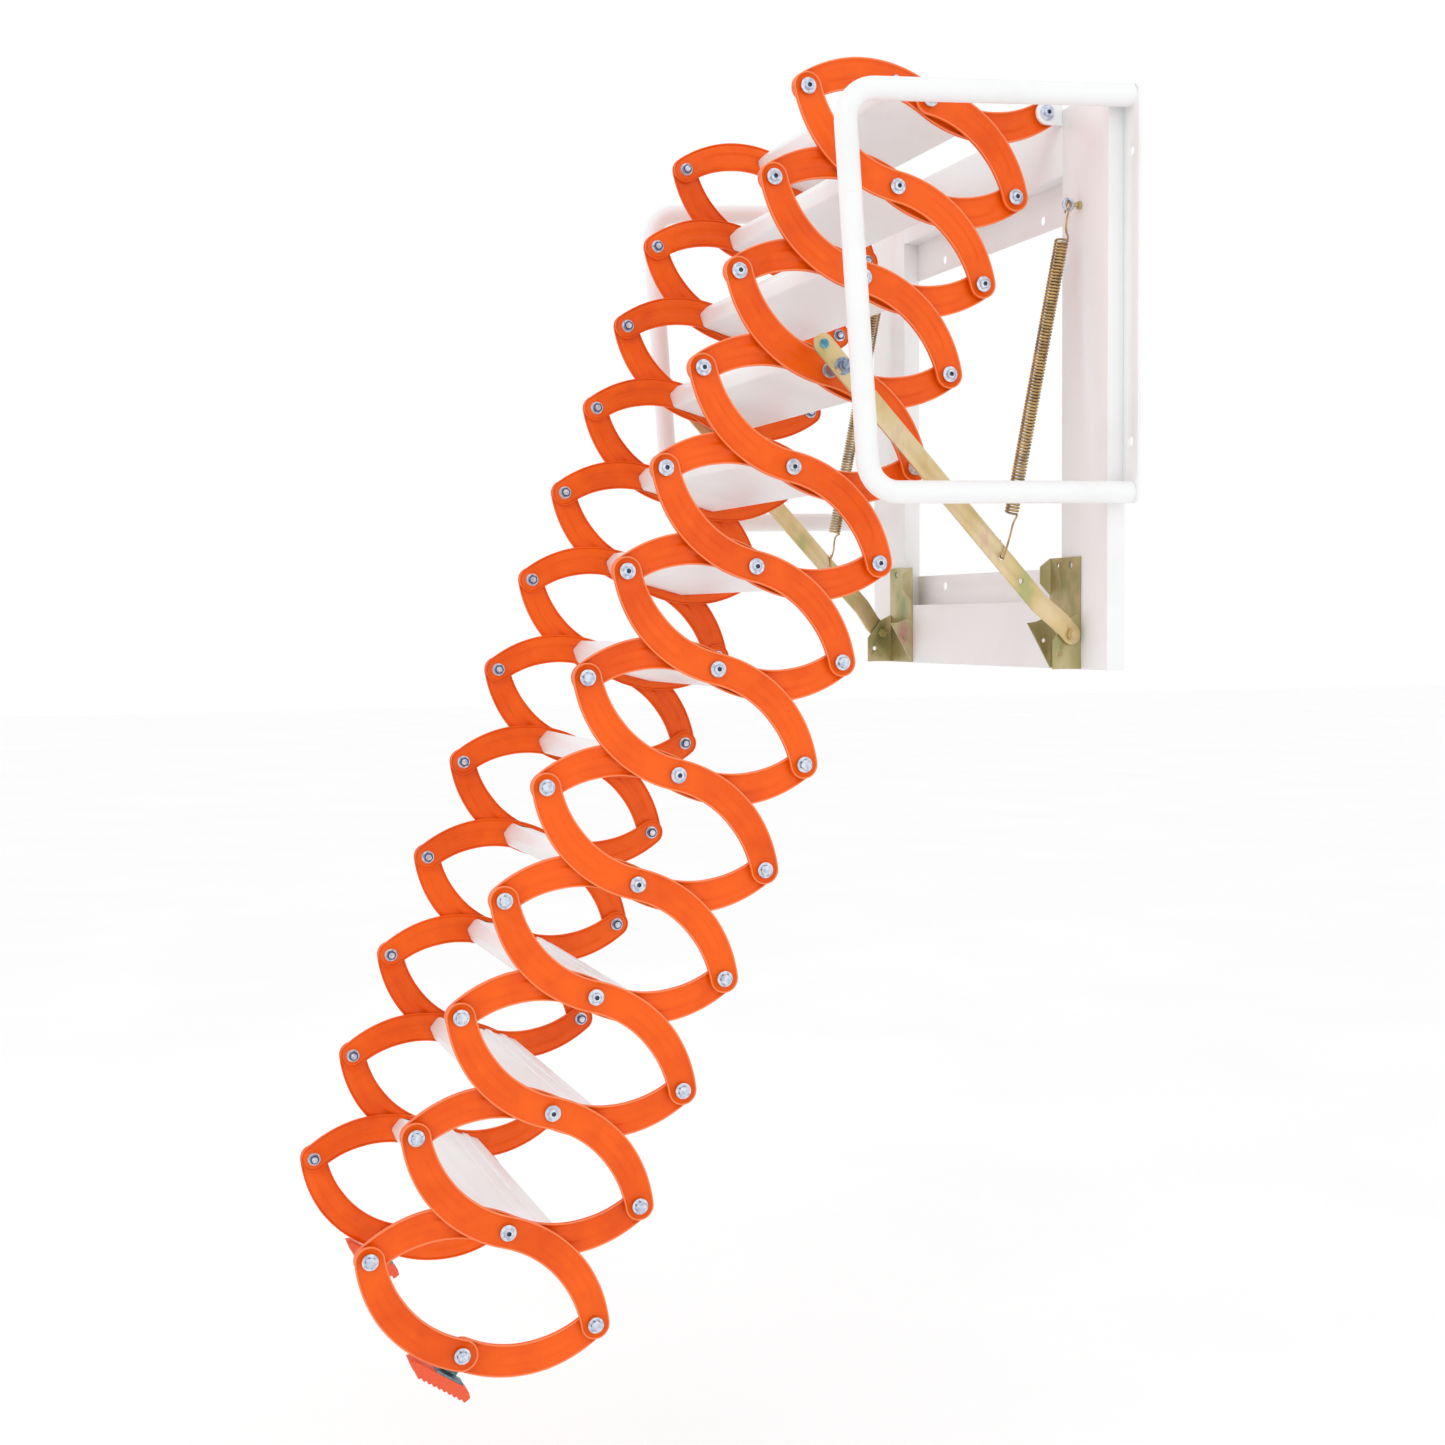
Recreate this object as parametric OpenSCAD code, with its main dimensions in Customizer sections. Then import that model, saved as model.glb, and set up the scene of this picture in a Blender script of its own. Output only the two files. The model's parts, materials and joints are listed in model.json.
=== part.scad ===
// Wall-mounted concertina ladder for an attic hatch, drawn open.
// X runs across the ladder, Y into the wall (the wall's face is y = 0) and Z up.
// The origin is the middle of the frame's four wall screws. The modules measure heights
// from the hanger pivots, and from_screws() lifts them into place. Lengths are in millimetres.

/* [Ladder] */
// Number of treads, one on each inner link
treads = 12; // [6:1:12]
// Link length from its middle pin to each end pin
link_pitch = 180; // [160:5:200]
// Clear width between the two rows of inner links
clear_width = 492; // [420:2:600]
// Angle between the ladder's line and its uppermost links
top_angle = 68.7; // [66:0.1:70]
// How much less that angle is at each stage below, a crank in every link
angle_step = 0.57; // [0:0.01:0.6]
// Lean of the ladder's line from the vertical
rake = 22.1; // [16:0.1:26]

/* [Pressed links] */
// Width of a link
link_width = 43; // [36:1:46]
// How far each half of a link bows from its straight line
link_bow = 27; // [18:1:30]
// Radius of a link's rounded end
link_end_r = 19.5; // [17:0.5:22]
// Thickness of the link's sheet
link_sheet = 2.5; // [2:0.5:3]
// Height of the turned-up rim
rim_height = 6; // [4:0.5:6.5]
// Width of the rim
rim_width = 2.5; // [2:0.5:3]
// Radius of the bores for the pivot bolts
bore_r = 5.05; // [4.05:0.5:6.05]

/* [Treads] */
// Reach of the tread in front of its link's middle pin
tread_front = 64; // [63:1:70]
// Reach of the tread behind the middle pin
tread_rear = 71; // [66:1:76]
// Height of the tread's top above the middle pin
tread_rise = 14; // [14:0.5:18]
// Depth of the folded nose below the tread's top
nose_depth = 35; // [34:1:42]
// Depth of the tread along its rear edge
rear_depth = 16; // [16:1:22]
// Angle between the tread's top and its link's straight line
tread_tilt = 26.2; // [24:0.2:28]
// Thickness of the tread's sheet
tread_sheet = 2.5; // [2:0.5:2.5]

/* [Wall frame] */
// Width of the frame over its uprights
frame_width = 766; // [700:2:900]
// Height of the frame
frame_height = 782; // [740:2:860]
// Height of the frame's top above the hanger pivots
frame_top = 6; // [4:1:30]
// How far the frame stands out of the wall
frame_depth = 27; // [20:1:30]
// Width of an upright's front face
jamb_width = 123; // [100:1:130]
// Thickness of the frame's sheet
frame_sheet = 2; // [1.5:0.5:3]
// Height of the header's front face
header_face = 91; // [70:1:100]
// Height of the header's wall flange
header_flange = 60; // [40:1:70]
// Height of the sill's front face
sill_face = 95; // [70:1:110]
// Height of the sill's wall flange
sill_flange = 48; // [40:1:60]
// Distance of the flange screws from the flange edge beside the opening
screw_edge = 18; // [12:1:20]
// Distance of the flange screws from the middle of the frame
screw_x = 160; // [120:5:200]
// Distance of the hanger pivots from the wall
hanger_reach = 51; // [48:1:60]
// Radius of the wall screw holes
screw_hole_r = 6.5; // [4:0.5:7]

/* [Handrails] */
// Outer radius of the tube
tube_r = 15; // [12:0.5:18]
// Bend radius at the middle of the tube
bend_r = 42; // [34:1:60]
// Distance of each handrail from the middle of the ladder
rail_offset = 403; // [402:1:470]
// Reach of the upper corner out of the wall
rail_reach_top = 422; // [380:2:460]
// Reach of the lower corner out of the wall
rail_reach_low = 388; // [340:2:440]
// Length of the wall strip
strip_length = 556; // [540:2:600]

/* [Levers and springs] */
// Drop of the lever hinges below the hanger pivots
lever_drop = 727; // [700:1:740]
// Distance of the lever hinges from the wall
lever_reach = 46; // [45:1:52]
// Width of the lever bars
lever_width = 28; // [24:1:32]
// Thickness of the lever bars
lever_thick = 5; // [4:0.5:6]
// Outer radius of the spring coils
spring_r = 9; // [7:0.5:11]

/* [Feet] */
// Length of the rubber pad
pad_length = 100; // [80:2:120]
// Thickness of the rubber pad
pad_thick = 17; // [14:1:22]
// Teeth under the pad
pad_teeth = 11; // [7:1:13]
// Tilt of the pad, toe up
pad_tilt = 34; // [33:1:35]

/* [Hidden] */
$fn = 64;

function numbered(name, i) = str(name, i < 10 ? "_0" : "_", i);

// Running clearance beside a seat, and the cut-through allowance of a hole
gap = 0.3;
cut = 1;

// ---- The lattice, as points [y, z] in a side view ----
hanger = [-hanger_reach, 0];
line_angle = 270 - rake;
function ray(angle) = [cos(angle), sin(angle)];
function open_angle(i) = top_angle - angle_step * i;
function middle_pin(i) = i == 0
    ? hanger + link_pitch * ray(line_angle - open_angle(-1))
    : middle_pin(i - 1) + 2 * link_pitch * cos(open_angle(i - 1)) * ray(line_angle);
function room_pin(i) = middle_pin(i) + link_pitch * ray(line_angle - open_angle(i));
function wall_pin(i) = i < 0 ? hanger : middle_pin(i) + link_pitch * ray(line_angle + open_angle(i));

// ---- Layers across the near side, as x values ----
web_inset = 0.5;
inner_x = clear_width / 2 - gap / 2;
inner_boss = rim_height + web_inset + 0.7;
outer_x = inner_x + inner_boss + gap;
outer_boss = 5.5;
boss_r = 11;
head_seat = outer_x + web_inset + rim_height + gap;
shank_r = bore_r - 0.05;
washer_r = 9.5;
washer_thick = 1.5;
head_r = 7.5;
head_height = 4.2;
nut_r = 8;
nut_height = 5.5;
head_top = head_seat + washer_thick + head_height;

// Puts a child drawn in the side view (x toward the wall, y up) at a point, turned by an angle
module side_view(point, angle = 0)
    translate([0, point[0], point[1]]) rotate([angle, 0, 0]) rotate([90, 0, 90]) children();

module both_sides() {
    children();
    mirror([1, 0, 0]) children();
}

module ring(outer_r, inner_r, height)
    difference() {
        cylinder(r = outer_r, h = height);
        translate([0, 0, -cut]) cylinder(r = inner_r, h = height + 2 * cut);
    }

// ---- Pressed links ----
bow_r = (pow(link_pitch, 2) / 4 + pow(link_bow, 2)) / (2 * link_bow);
bow_half = asin(link_pitch / 2 / bow_r);

// How finely the bowed sides and the round ends are divided
bow_steps = 9;
end_steps = 8;
// The share of a half link, from its middle pin, that keeps the full width
full_share = 0.6;

// The bowed line of a half link that lies along +x, and its outward normal, for t from 0 to 1
function bow_angle(t) = bow_half * (2 * t - 1);
function bow_point(t) = [link_pitch / 2 + bow_r * sin(bow_angle(t)), link_bow - bow_r + bow_r * cos(bow_angle(t))];
function bow_normal(t) = [sin(bow_angle(t)), cos(bow_angle(t))];
function half_width(t) = t < full_share
    ? link_width / 2
    : link_width / 2 + (link_end_r - link_width / 2) * (t - full_share) / (1 - full_share);
function bow_side(sign, inset) = [for (k = [1 : bow_steps]) let (t = k / bow_steps)
    bow_point(t) + sign * (half_width(t) - inset) * bow_normal(t)];
function reversed(list) = [for (k = [len(list) - 1 : -1 : 0]) list[k]];
function round_end(middle, radius, start) =
    [for (k = [1 : end_steps - 1]) middle + radius * ray(start - k * 180 / end_steps)];
function half_outline(inset) = concat(
    bow_side(1, inset),
    round_end([link_pitch, 0], link_end_r - inset, 90 - bow_half),
    reversed(bow_side(-1, inset)));
function turned(list, angle) = [for (p = list)
    [p[0] * cos(angle) - p[1] * sin(angle), p[0] * sin(angle) + p[1] * cos(angle)]];

// The S-shaped outline: its lower half along +x, its upper half cranked by the angle step.
// A half link ends in a round about its middle pin.
upper_turn = 180 + angle_step;
function link_outline(inset, lower, upper) =
    lower && upper ? concat(half_outline(inset), turned(half_outline(inset), upper_turn))
    : turned(concat(half_outline(inset), round_end([0, 0], link_width / 2 - inset, 270 + bow_half)),
             lower ? 0 : upper_turn);
function link_pins(lower, upper) = concat([[0, 0]],
    lower ? [[link_pitch, 0]] : [],
    upper ? [link_pitch * ray(upper_turn)] : []);

// A pressed tray with a turned-up rim, and a boss at each pin
module link(boss, lower = true, upper = true, screws = false)
    difference() {
        union() {
            translate([0, 0, web_inset]) difference() {
                linear_extrude(rim_height) polygon(link_outline(0, lower, upper));
                translate([0, 0, link_sheet]) linear_extrude(rim_height)
                    polygon(link_outline(rim_width, lower, upper));
            }
            for (p = link_pins(lower, upper)) translate(p) cylinder(r = boss_r, h = boss);
        }
        for (p = link_pins(lower, upper)) translate([p[0], p[1], -cut])
            cylinder(r = bore_r, h = boss + 2 * cut);
        if (screws) tread_screw_holes();
    }

module outer_links(i)
    color("orangered") both_sides() translate([outer_x, 0, 0])
        side_view(middle_pin(i), line_angle + open_angle(i))
            link(outer_boss, lower = i < treads, upper = i > 0);

module inner_links(i)
    color("orangered") both_sides() translate([inner_x, 0, 0])
        side_view(middle_pin(i), line_angle - open_angle(i))
            mirror([0, 1, 0]) link(inner_boss, lower = i < treads, screws = i < treads);

// ---- Pivot bolts: a socket head and washer outside, a nut and washer inside ----
module pivot_bolt(seat = head_seat) {
    nut_face = inner_x - gap;
    tail = nut_face - washer_thick - nut_height - 1;
    translate([0, 0, tail]) cylinder(r = shank_r, h = seat - tail);
    difference() {
        union() {
            translate([0, 0, seat]) cylinder(r = washer_r, h = washer_thick);
            translate([0, 0, seat + washer_thick]) cylinder(r = head_r, h = head_height);
        }
        translate([0, 0, seat + washer_thick + 1.5]) cylinder(r = 3.4, h = head_height, $fn = 6);
    }
    difference() {
        union() {
            translate([0, 0, nut_face - washer_thick]) cylinder(r = washer_r, h = washer_thick);
            translate([0, 0, nut_face - washer_thick - nut_height]) cylinder(r = nut_r, h = nut_height, $fn = 6);
        }
        translate([0, 0, tail]) cylinder(r = bore_r, h = nut_face - tail + cut);
    }
}

// ---- Treads ----
// The points [toward the room, up] where screws hold a tread to its link
tread_screws = [[47, 26], [-52, -20]];
screw_r = 3;

module tread_screw_holes()
    for (p = tread_screws) translate([p[0], p[1], -cut])
        cylinder(r = screw_r + 0.1, h = web_inset + link_sheet + 2 * cut);

module tread_screw_set()
    for (p = tread_screws) translate([p[0], p[1], 0]) {
        translate([0, 0, inner_x - 6]) cylinder(r = screw_r, h = 6 + web_inset + link_sheet);
        translate([0, 0, inner_x + web_inset + link_sheet + 0.1]) cylinder(r = 5, h = 2);
        translate([0, 0, inner_x + web_inset + link_sheet - 0.4]) cylinder(r = screw_r, h = 0.6);
    }

// A bent sheet, its middle line through the points
module bent_sheet(points, thick)
    for (i = [0 : len(points) - 2]) {
        step = points[i + 1] - points[i];
        translate(points[i]) rotate(atan2(step[1], step[0])) {
            translate([0, -thick / 2]) square([norm(step), thick]);
            circle(d = thick, $fn = 24);
        }
        if (i == len(points) - 2) translate(points[i + 1]) circle(d = thick, $fn = 24);
    }

// Turns a child drawn with x toward the room and y up into an inner link's frame
module tread_view(i)
    side_view(middle_pin(i), line_angle - open_angle(i)) mirror([0, 1, 0]) children();

// Ribs along the tread's top, as distances toward the room
tread_ribs = [-25, -50];
rib_width = 8;
rib_height = 1.5;

// A sheet folded into a wedge that is open along the rear, closed by a plate at each end.
// The wedge is drawn with x along its top and turned onto the link.
module tread(i) {
    top = tread_rise - tread_sheet / 2;
    nose_low = tread_rise - nose_depth + tread_sheet / 2;
    front = tread_front - tread_sheet / 2;
    rear = -tread_rear + tread_sheet / 2;
    end_x = inner_x - gap + web_inset;
    fold = [[rear, top], [front - 7, top], [front, top - 18], [front - 14, nose_low],
            [rear, tread_rise - rear_depth + tread_sheet / 2]];
    color("white") difference() {
        tread_view(i) rotate(tread_tilt) {
            translate([0, 0, -end_x]) linear_extrude(2 * end_x) {
                bent_sheet(fold, tread_sheet);
                for (u = tread_ribs) translate([u - rib_width / 2, top])
                    polygon([[0, 0], [1.5, rib_height + tread_sheet / 2],
                             [rib_width - 1.5, rib_height + tread_sheet / 2], [rib_width, 0]]);
            }
            for (z = [-end_x, end_x - tread_sheet]) translate([0, 0, z])
                linear_extrude(tread_sheet) polygon(fold);
        }
        both_sides() tread_view(i) translate([0, 0, end_x - tread_sheet - cut]) {
            cylinder(r = boss_r + gap, h = tread_sheet + 2 * cut);
            for (p = tread_screws) translate(p) cylinder(r = screw_r + 0.1, h = tread_sheet + 2 * cut);
        }
    }
}

module pivot_bolts(i)
    color("lightsteelblue") both_sides() {
        side_view(wall_pin(i - 1)) pivot_bolt(i == 0 ? bracket_x + bracket_thick + gap : head_seat);
        if (i < treads) {
            side_view(middle_pin(i)) pivot_bolt();
            side_view(room_pin(i)) pivot_bolt();
            tread_view(i) tread_screw_set();
        }
    }

// ---- Wall frame ----
jamb_in = frame_width / 2 - jamb_width;
frame_low = frame_top - frame_height;

module frame_jambs()
    color("whitesmoke") both_sides() translate([jamb_in, -frame_depth, frame_low]) difference() {
        cube([jamb_width, frame_depth, frame_height]);
        translate([frame_sheet, frame_sheet, -cut])
            cube([jamb_width - 2 * frame_sheet, frame_depth, frame_height + 2 * cut]);
        translate([spring_x - jamb_in, -cut, spring_eye[1] - frame_low]) rotate([-90, 0, 0])
            cylinder(r = eye_shank_r + 0.1, h = frame_sheet + 2 * cut);
    }

// A Z-section between the uprights: front face, return to the wall and wall flange
module frame_rail(face_z, face, flange_z, flange, return_z, hole_z)
    difference() {
        union() {
            translate([-jamb_in, -frame_depth, face_z]) cube([2 * jamb_in, frame_sheet, face]);
            translate([-jamb_in, -frame_depth, return_z]) cube([2 * jamb_in, frame_depth, frame_sheet]);
            translate([-jamb_in, -frame_sheet, flange_z]) cube([2 * jamb_in, frame_sheet, flange]);
        }
        for (x = [-screw_x, screw_x]) translate([x, -frame_sheet - cut, hole_z]) rotate([-90, 0, 0])
            cylinder(r = screw_hole_r, h = frame_sheet + 2 * cut);
    }

header_low = frame_top - header_face;
sill_high = frame_low + sill_face;
header_screw_z = header_low - header_flange + screw_edge;
sill_screw_z = sill_high + sill_flange - screw_edge;

module frame_rails()
    color("whitesmoke") {
        frame_rail(header_low, header_face, header_low - header_flange, header_flange + frame_sheet,
                   header_low, header_screw_z);
        frame_rail(frame_low, sill_face, sill_high - frame_sheet, sill_flange + frame_sheet,
                   sill_high - frame_sheet, sill_screw_z);
    }

// Lifts a child so that the middle of the four frame screws is the origin
module from_screws() translate([0, 0, -(header_screw_z + sill_screw_z) / 2]) children();

// ---- Hanger brackets: a round-ended plate welded beside each upright ----
bracket_r = 16;
bracket_x = outer_x + 1;
bracket_thick = jamb_in - bracket_x;

module hanger_brackets()
    color("white") both_sides() translate([bracket_x, 0, 0]) side_view(hanger) difference() {
        union() {
            cylinder(r = bracket_r, h = bracket_thick);
            translate([0, -bracket_r, 0]) cube([hanger_reach - frame_depth, 2 * bracket_r, bracket_thick]);
        }
        translate([0, 0, -cut]) cylinder(r = bore_r, h = bracket_thick + 2 * cut);
    }

// ---- Lever hinge brackets: a back plate with an ear folded forward at each edge ----
lever_hinge = [-lever_reach, -lever_drop];
plate_in = jamb_in - 30;
plate_out = jamb_in + 54;
bracket_sheet = 2.5;
plate_face = -frame_depth - bracket_sheet;
plate_high = lever_drop - 108;
plate_low = lever_drop + 48;

module ear(points) side_view([0, 0]) linear_extrude(bracket_sheet) polygon(points);

module lever_brackets() {
    front = plate_face + 0.1;
    color("darkkhaki") both_sides() difference() {
        union() {
            translate([plate_in, plate_face, -plate_low])
                cube([plate_out - plate_in, bracket_sheet, plate_low - plate_high]);
            translate([plate_in, 0, 0]) ear([
                [front, -plate_high], [front - 16, -plate_high - 12], [front - 16, -plate_high - 36],
                [front, -plate_high - 53]]);
            translate([plate_in, 0, 0]) ear([
                [front, -plate_low + 75], [front - 22, -plate_low + 66], [front - 37, -plate_low + 64],
                [front, -plate_low]]);
            translate([plate_out - bracket_sheet, 0, 0]) ear([
                [front, -plate_low + 78], [front - 19, -plate_low + 69], [front - 42, -plate_low + 40],
                [front - 42, -plate_low], [front, -plate_low]]);
        }
        translate([plate_out - bracket_sheet - cut, 0, 0]) side_view(lever_hinge)
            cylinder(r = bore_r, h = bracket_sheet + 2 * cut);
        translate([plate_out - bracket_sheet - cut, 0, 0]) side_view([front - 30, -plate_low + 22])
            cylinder(r = 3.5, h = bracket_sheet + 2 * cut);
        translate([plate_in - cut, 0, 0]) side_view([front - 11, -plate_low + 39])
            cylinder(r = 3, h = bracket_sheet + 2 * cut);
        for (hole = [[23, 3.5], [59, 5]])
            translate([plate_in + hole[0], plate_face - cut, -plate_high - 11]) rotate([-90, 0, 0])
                cylinder(r = hole[1], h = bracket_sheet + 2 * cut);
    }
}

// ---- Lever arms ----
lever_upper_x = plate_out - 14;
lever_lower_x = plate_out + 1.5;
lever_line = middle_pin(3) - lever_hinge;
lever_length = norm(lever_line);
lever_angle = atan2(lever_line[1], lever_line[0]);
lever_tip = 39;
joggle_low = 24;
joggle_high = 58;
spring_hole = 146;
spare_hole = 102;
hook_hole_r = 4;

module lever_arms()
    color("burlywood") both_sides() {
        side_view(lever_hinge, lever_angle) {
            difference() {
                union() {
                    rotate([90, 0, 0]) translate([0, 0, -lever_width / 2]) linear_extrude(lever_width)
                        polygon([[0, lever_lower_x], [joggle_low, lever_lower_x], [joggle_high, lever_upper_x],
                                 [lever_length + lever_tip, lever_upper_x],
                                 [lever_length + lever_tip, lever_upper_x + lever_thick],
                                 [joggle_high, lever_upper_x + lever_thick],
                                 [joggle_low, lever_lower_x + lever_thick], [0, lever_lower_x + lever_thick]]);
                    translate([0, 0, lever_lower_x]) cylinder(d = lever_width, h = lever_thick);
                    translate([lever_length + lever_tip, 0, lever_upper_x])
                        cylinder(d = lever_width, h = lever_thick);
                }
                translate([0, 0, lever_lower_x - cut]) cylinder(r = bore_r, h = lever_thick + 2 * cut);
                for (s = [spring_hole, spare_hole]) translate([s, 0, lever_upper_x - cut])
                    cylinder(r = hook_hole_r, h = lever_thick + 2 * cut);
                for (s = [0, lever_tip]) translate([lever_length + s, 0, lever_upper_x - cut])
                    cylinder(r = bore_r, h = lever_thick + 2 * cut);
            }
            translate([lever_length, 0, 0]) cross_bolt();
            translate([lever_length + lever_tip, 0, lever_upper_x - 1]) tip_rivet();
        }
    }

// The spacer that carries the lever beside the links, with its bolt and flange nut
module cross_bolt() {
    start = head_top + 0.8;
    translate([0, 0, start]) ring(9, bore_r, lever_upper_x - start);
    translate([0, 0, start]) cylinder(r = shank_r, h = lever_upper_x + lever_thick + 12 - start);
    translate([0, 0, lever_upper_x + lever_thick]) difference() {
        union() {
            cylinder(r = 12, h = 2);
            cylinder(r = nut_r, h = 9, $fn = 6);
        }
        translate([0, 0, -cut]) cylinder(r = bore_r, h = 12);
    }
}

module tip_rivet() {
    cylinder(r = shank_r, h = lever_thick + 2);
    translate([0, 0, lever_thick + 1]) cylinder(r = 6.5, h = 1.6);
}

// ---- Springs: the coil's outer shape with a hook at each end ----
spring_x = lever_upper_x + lever_thick + 4.5;
spring_eye = [-frame_depth - 19, -136];
spring_foot = lever_hinge + spring_hole * ray(lever_angle);
spring_line = spring_foot - spring_eye;
spring_length = norm(spring_line);
hook_top = 50;
hook_low = 60;
wire_r = 1.5;
// The upper hook's wire runs down beside the eye ring
hook_beside = 4.4;

module springs()
    color("peru") both_sides() translate([spring_x, 0, 0])
        side_view(spring_eye, atan2(spring_line[1], spring_line[0])) {
            rotate([0, 90, 0]) {
                translate([-hook_beside, 0, 0]) cylinder(r = wire_r, h = hook_top + 2, $fn = 24);
                translate([0, 0, spring_length - hook_low - 2]) cylinder(r = wire_r, h = hook_low + 2, $fn = 24);
                translate([0, 0, hook_top]) cylinder(r = spring_r, h = spring_length - hook_top - hook_low);
            }
            translate([0, 0, -2]) cylinder(r = wire_r, h = hook_beside + 2, $fn = 24);
            translate([spring_length, 0, -12]) cylinder(r = wire_r, h = 12, $fn = 24);
        }

// ---- Frame fasteners: the spring eye bolts and the lever hinge bolts ----
eye_shank_r = 3;
eye_r = 7;
eye_wire_r = 2.5;

module eye_bolt() {
    side_view([0, 0]) rotate_extrude($fn = 48) translate([eye_r, 0]) circle(r = eye_wire_r, $fn = 24);
    rotate([-90, 0, 0]) translate([0, 0, eye_r]) cylinder(r = eye_shank_r, h = 24);
    rotate([-90, 0, 0]) for (z = [-frame_depth - spring_eye[0] - 4.2, -frame_depth - spring_eye[0] + frame_sheet + 0.2])
        translate([0, 0, z]) difference() {
            cylinder(r = 6, h = 4, $fn = 6);
            translate([0, 0, -cut]) cylinder(r = eye_shank_r + 0.05, h = 4 + 2 * cut);
        }
}

module hinge_bolt() {
    inner = plate_out - bracket_sheet;
    outer = lever_lower_x + lever_thick;
    translate([0, 0, inner - 8]) cylinder(r = shank_r, h = outer + 8 - inner + 8);
    translate([0, 0, inner - 6.2]) ring_nut(6);
    translate([0, 0, outer + 0.2]) ring_nut(6);
    translate([0, 0, plate_out + 0.1]) ring(8, bore_r, lever_lower_x - plate_out - 0.2);
}

module ring_nut(height)
    difference() {
        cylinder(r = nut_r, h = height, $fn = 6);
        translate([0, 0, -cut]) cylinder(r = bore_r, h = height + 2 * cut);
    }

module frame_fasteners()
    color("goldenrod") both_sides() {
        translate([spring_x, spring_eye[0], spring_eye[1]]) eye_bolt();
        side_view(lever_hinge) hinge_bolt();
    }

// ---- Handrails: a bent tube welded to a wall strip ----
rail_path = [[0, -8], [-rail_reach_top, -33], [-rail_reach_low, -541], [0, -535]];

function turn_at(path, i) = let (
    a = path[i] - path[i - 1], b = path[i + 1] - path[i],
    t = atan2(b[1], b[0]) - atan2(a[1], a[0])) t < -180 ? t + 360 : t > 180 ? t - 360 : t;
function trim_at(path, i) = i == 0 || i == len(path) - 1 ? 0 : bend_r * tan(turn_at(path, i) / 2);

// The stations along the bent tube, each a point and a heading, from "inset" inside each end
bend_steps = 8;
tube_sides = 20;
function heading_at(path, i) = let (step = path[i + 1] - path[i]) atan2(step[1], step[0]);
function bend_stations(path, i) = let (
    from = heading_at(path, i - 1), turn = turn_at(path, i),
    middle = path[i] - trim_at(path, i) * ray(from) + bend_r * ray(from + 90))
    [for (k = [0 : bend_steps]) let (heading = from + turn * k / bend_steps)
        [middle + bend_r * ray(heading - 90), heading]];
function tube_stations(path, inset) = let (last = len(path) - 1) concat(
    [[path[0] + inset * ray(heading_at(path, 0)), heading_at(path, 0)]],
    [for (i = [1 : last - 1]) each bend_stations(path, i)],
    [[path[last] - inset * ray(heading_at(path, last - 1)), heading_at(path, last - 1)]]);
function ring_points(station, r) = [for (k = [0 : tube_sides - 1]) let (
    side = r * cos(360 * k / tube_sides) * ray(station[1] + 90))
    [station[0][0] + side[0], station[0][1] + side[1], r * sin(360 * k / tube_sides)]];

// A tube swept along the path, closed by its wall strip at both ends
module bent_tube(path, inset) {
    stations = tube_stations(path, inset);
    last = len(stations) - 1;
    function at(j, k) = j * tube_sides + k % tube_sides;
    polyhedron(
        points = [for (st = stations) each ring_points(st, tube_r)],
        faces = concat(
            [for (j = [0 : last - 1], k = [0 : tube_sides - 1])
                [at(j, k), at(j + 1, k), at(j + 1, k + 1), at(j, k + 1)]],
            [[for (k = [0 : tube_sides - 1]) at(0, k)]],
            [[for (k = [tube_sides - 1 : -1 : 0]) at(last, k)]]));
}

strip_thick = 4;
strip_width = 37;
strip_holes = [-81, -467];

module handrails()
    color("white") both_sides() {
        translate([rail_offset, 0, 0]) side_view([0, 0]) bent_tube(rail_path, strip_thick + gap / 3);
        difference() {
            translate([rail_offset - strip_width / 2, -strip_thick, frame_top - strip_length])
                cube([strip_width, strip_thick, strip_length]);
            for (z = strip_holes) translate([rail_offset, -strip_thick - cut, z]) rotate([-90, 0, 0])
                cylinder(r = screw_hole_r, h = strip_thick + 2 * cut);
        }
    }

// ---- Feet: a toothed rubber pad under a folded steel shoe ----
foot_pin = middle_pin(treads);
shoe_sheet = 2.5;
shoe_in = inner_x - 4.3;
shoe_out = head_seat + 1.4;
shoe_drop = 29;
shoe_shift = -13;
tooth_depth = 5;

module feet() {
    both_sides() {
        color("slategray") side_view(foot_pin, -pad_tilt) {
            translate([0, 0, shoe_in]) difference() {
                union() {
                    cylinder(r = 13, h = shoe_sheet);
                    translate([-13, -shoe_drop, 0]) cube([26, shoe_drop, shoe_sheet]);
                }
                translate([0, 0, -cut]) cylinder(r = bore_r, h = shoe_sheet + 2 * cut);
            }
            translate([-20, -shoe_drop - shoe_sheet, shoe_in])
                cube([40, shoe_sheet, shoe_out + shoe_sheet - shoe_in]);
        }
        color("orangered") side_view(foot_pin, -pad_tilt) foot_pad();
        color("lightsteelblue") side_view(foot_pin) foot_bolt();
    }
}

module foot_pad() {
    top = -shoe_drop - shoe_sheet;
    pitch = pad_length / pad_teeth;
    left = shoe_shift - pad_length / 2;
    teeth = [for (k = [0 : pad_teeth - 1]) each [
        [left + k * pitch, top - pad_thick + tooth_depth],
        [left + (k + 0.5) * pitch, top - pad_thick]]];
    translate([0, 0, shoe_in - 3]) linear_extrude(shoe_out + shoe_sheet - shoe_in + 6)
        polygon(concat([[left, top]], teeth,
            [[left + pad_length, top - pad_thick + tooth_depth], [left + pad_length, top]]));
}

module foot_bolt() {
    tail = shoe_in - 8;
    translate([0, 0, tail]) cylinder(r = shank_r, h = head_seat - tail);
    translate([0, 0, head_seat]) cylinder(r = washer_r, h = washer_thick);
    translate([0, 0, head_seat + washer_thick]) cylinder(r = head_r, h = head_height);
    translate([0, 0, shoe_in - 6]) ring_nut(5.8);
}

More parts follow.
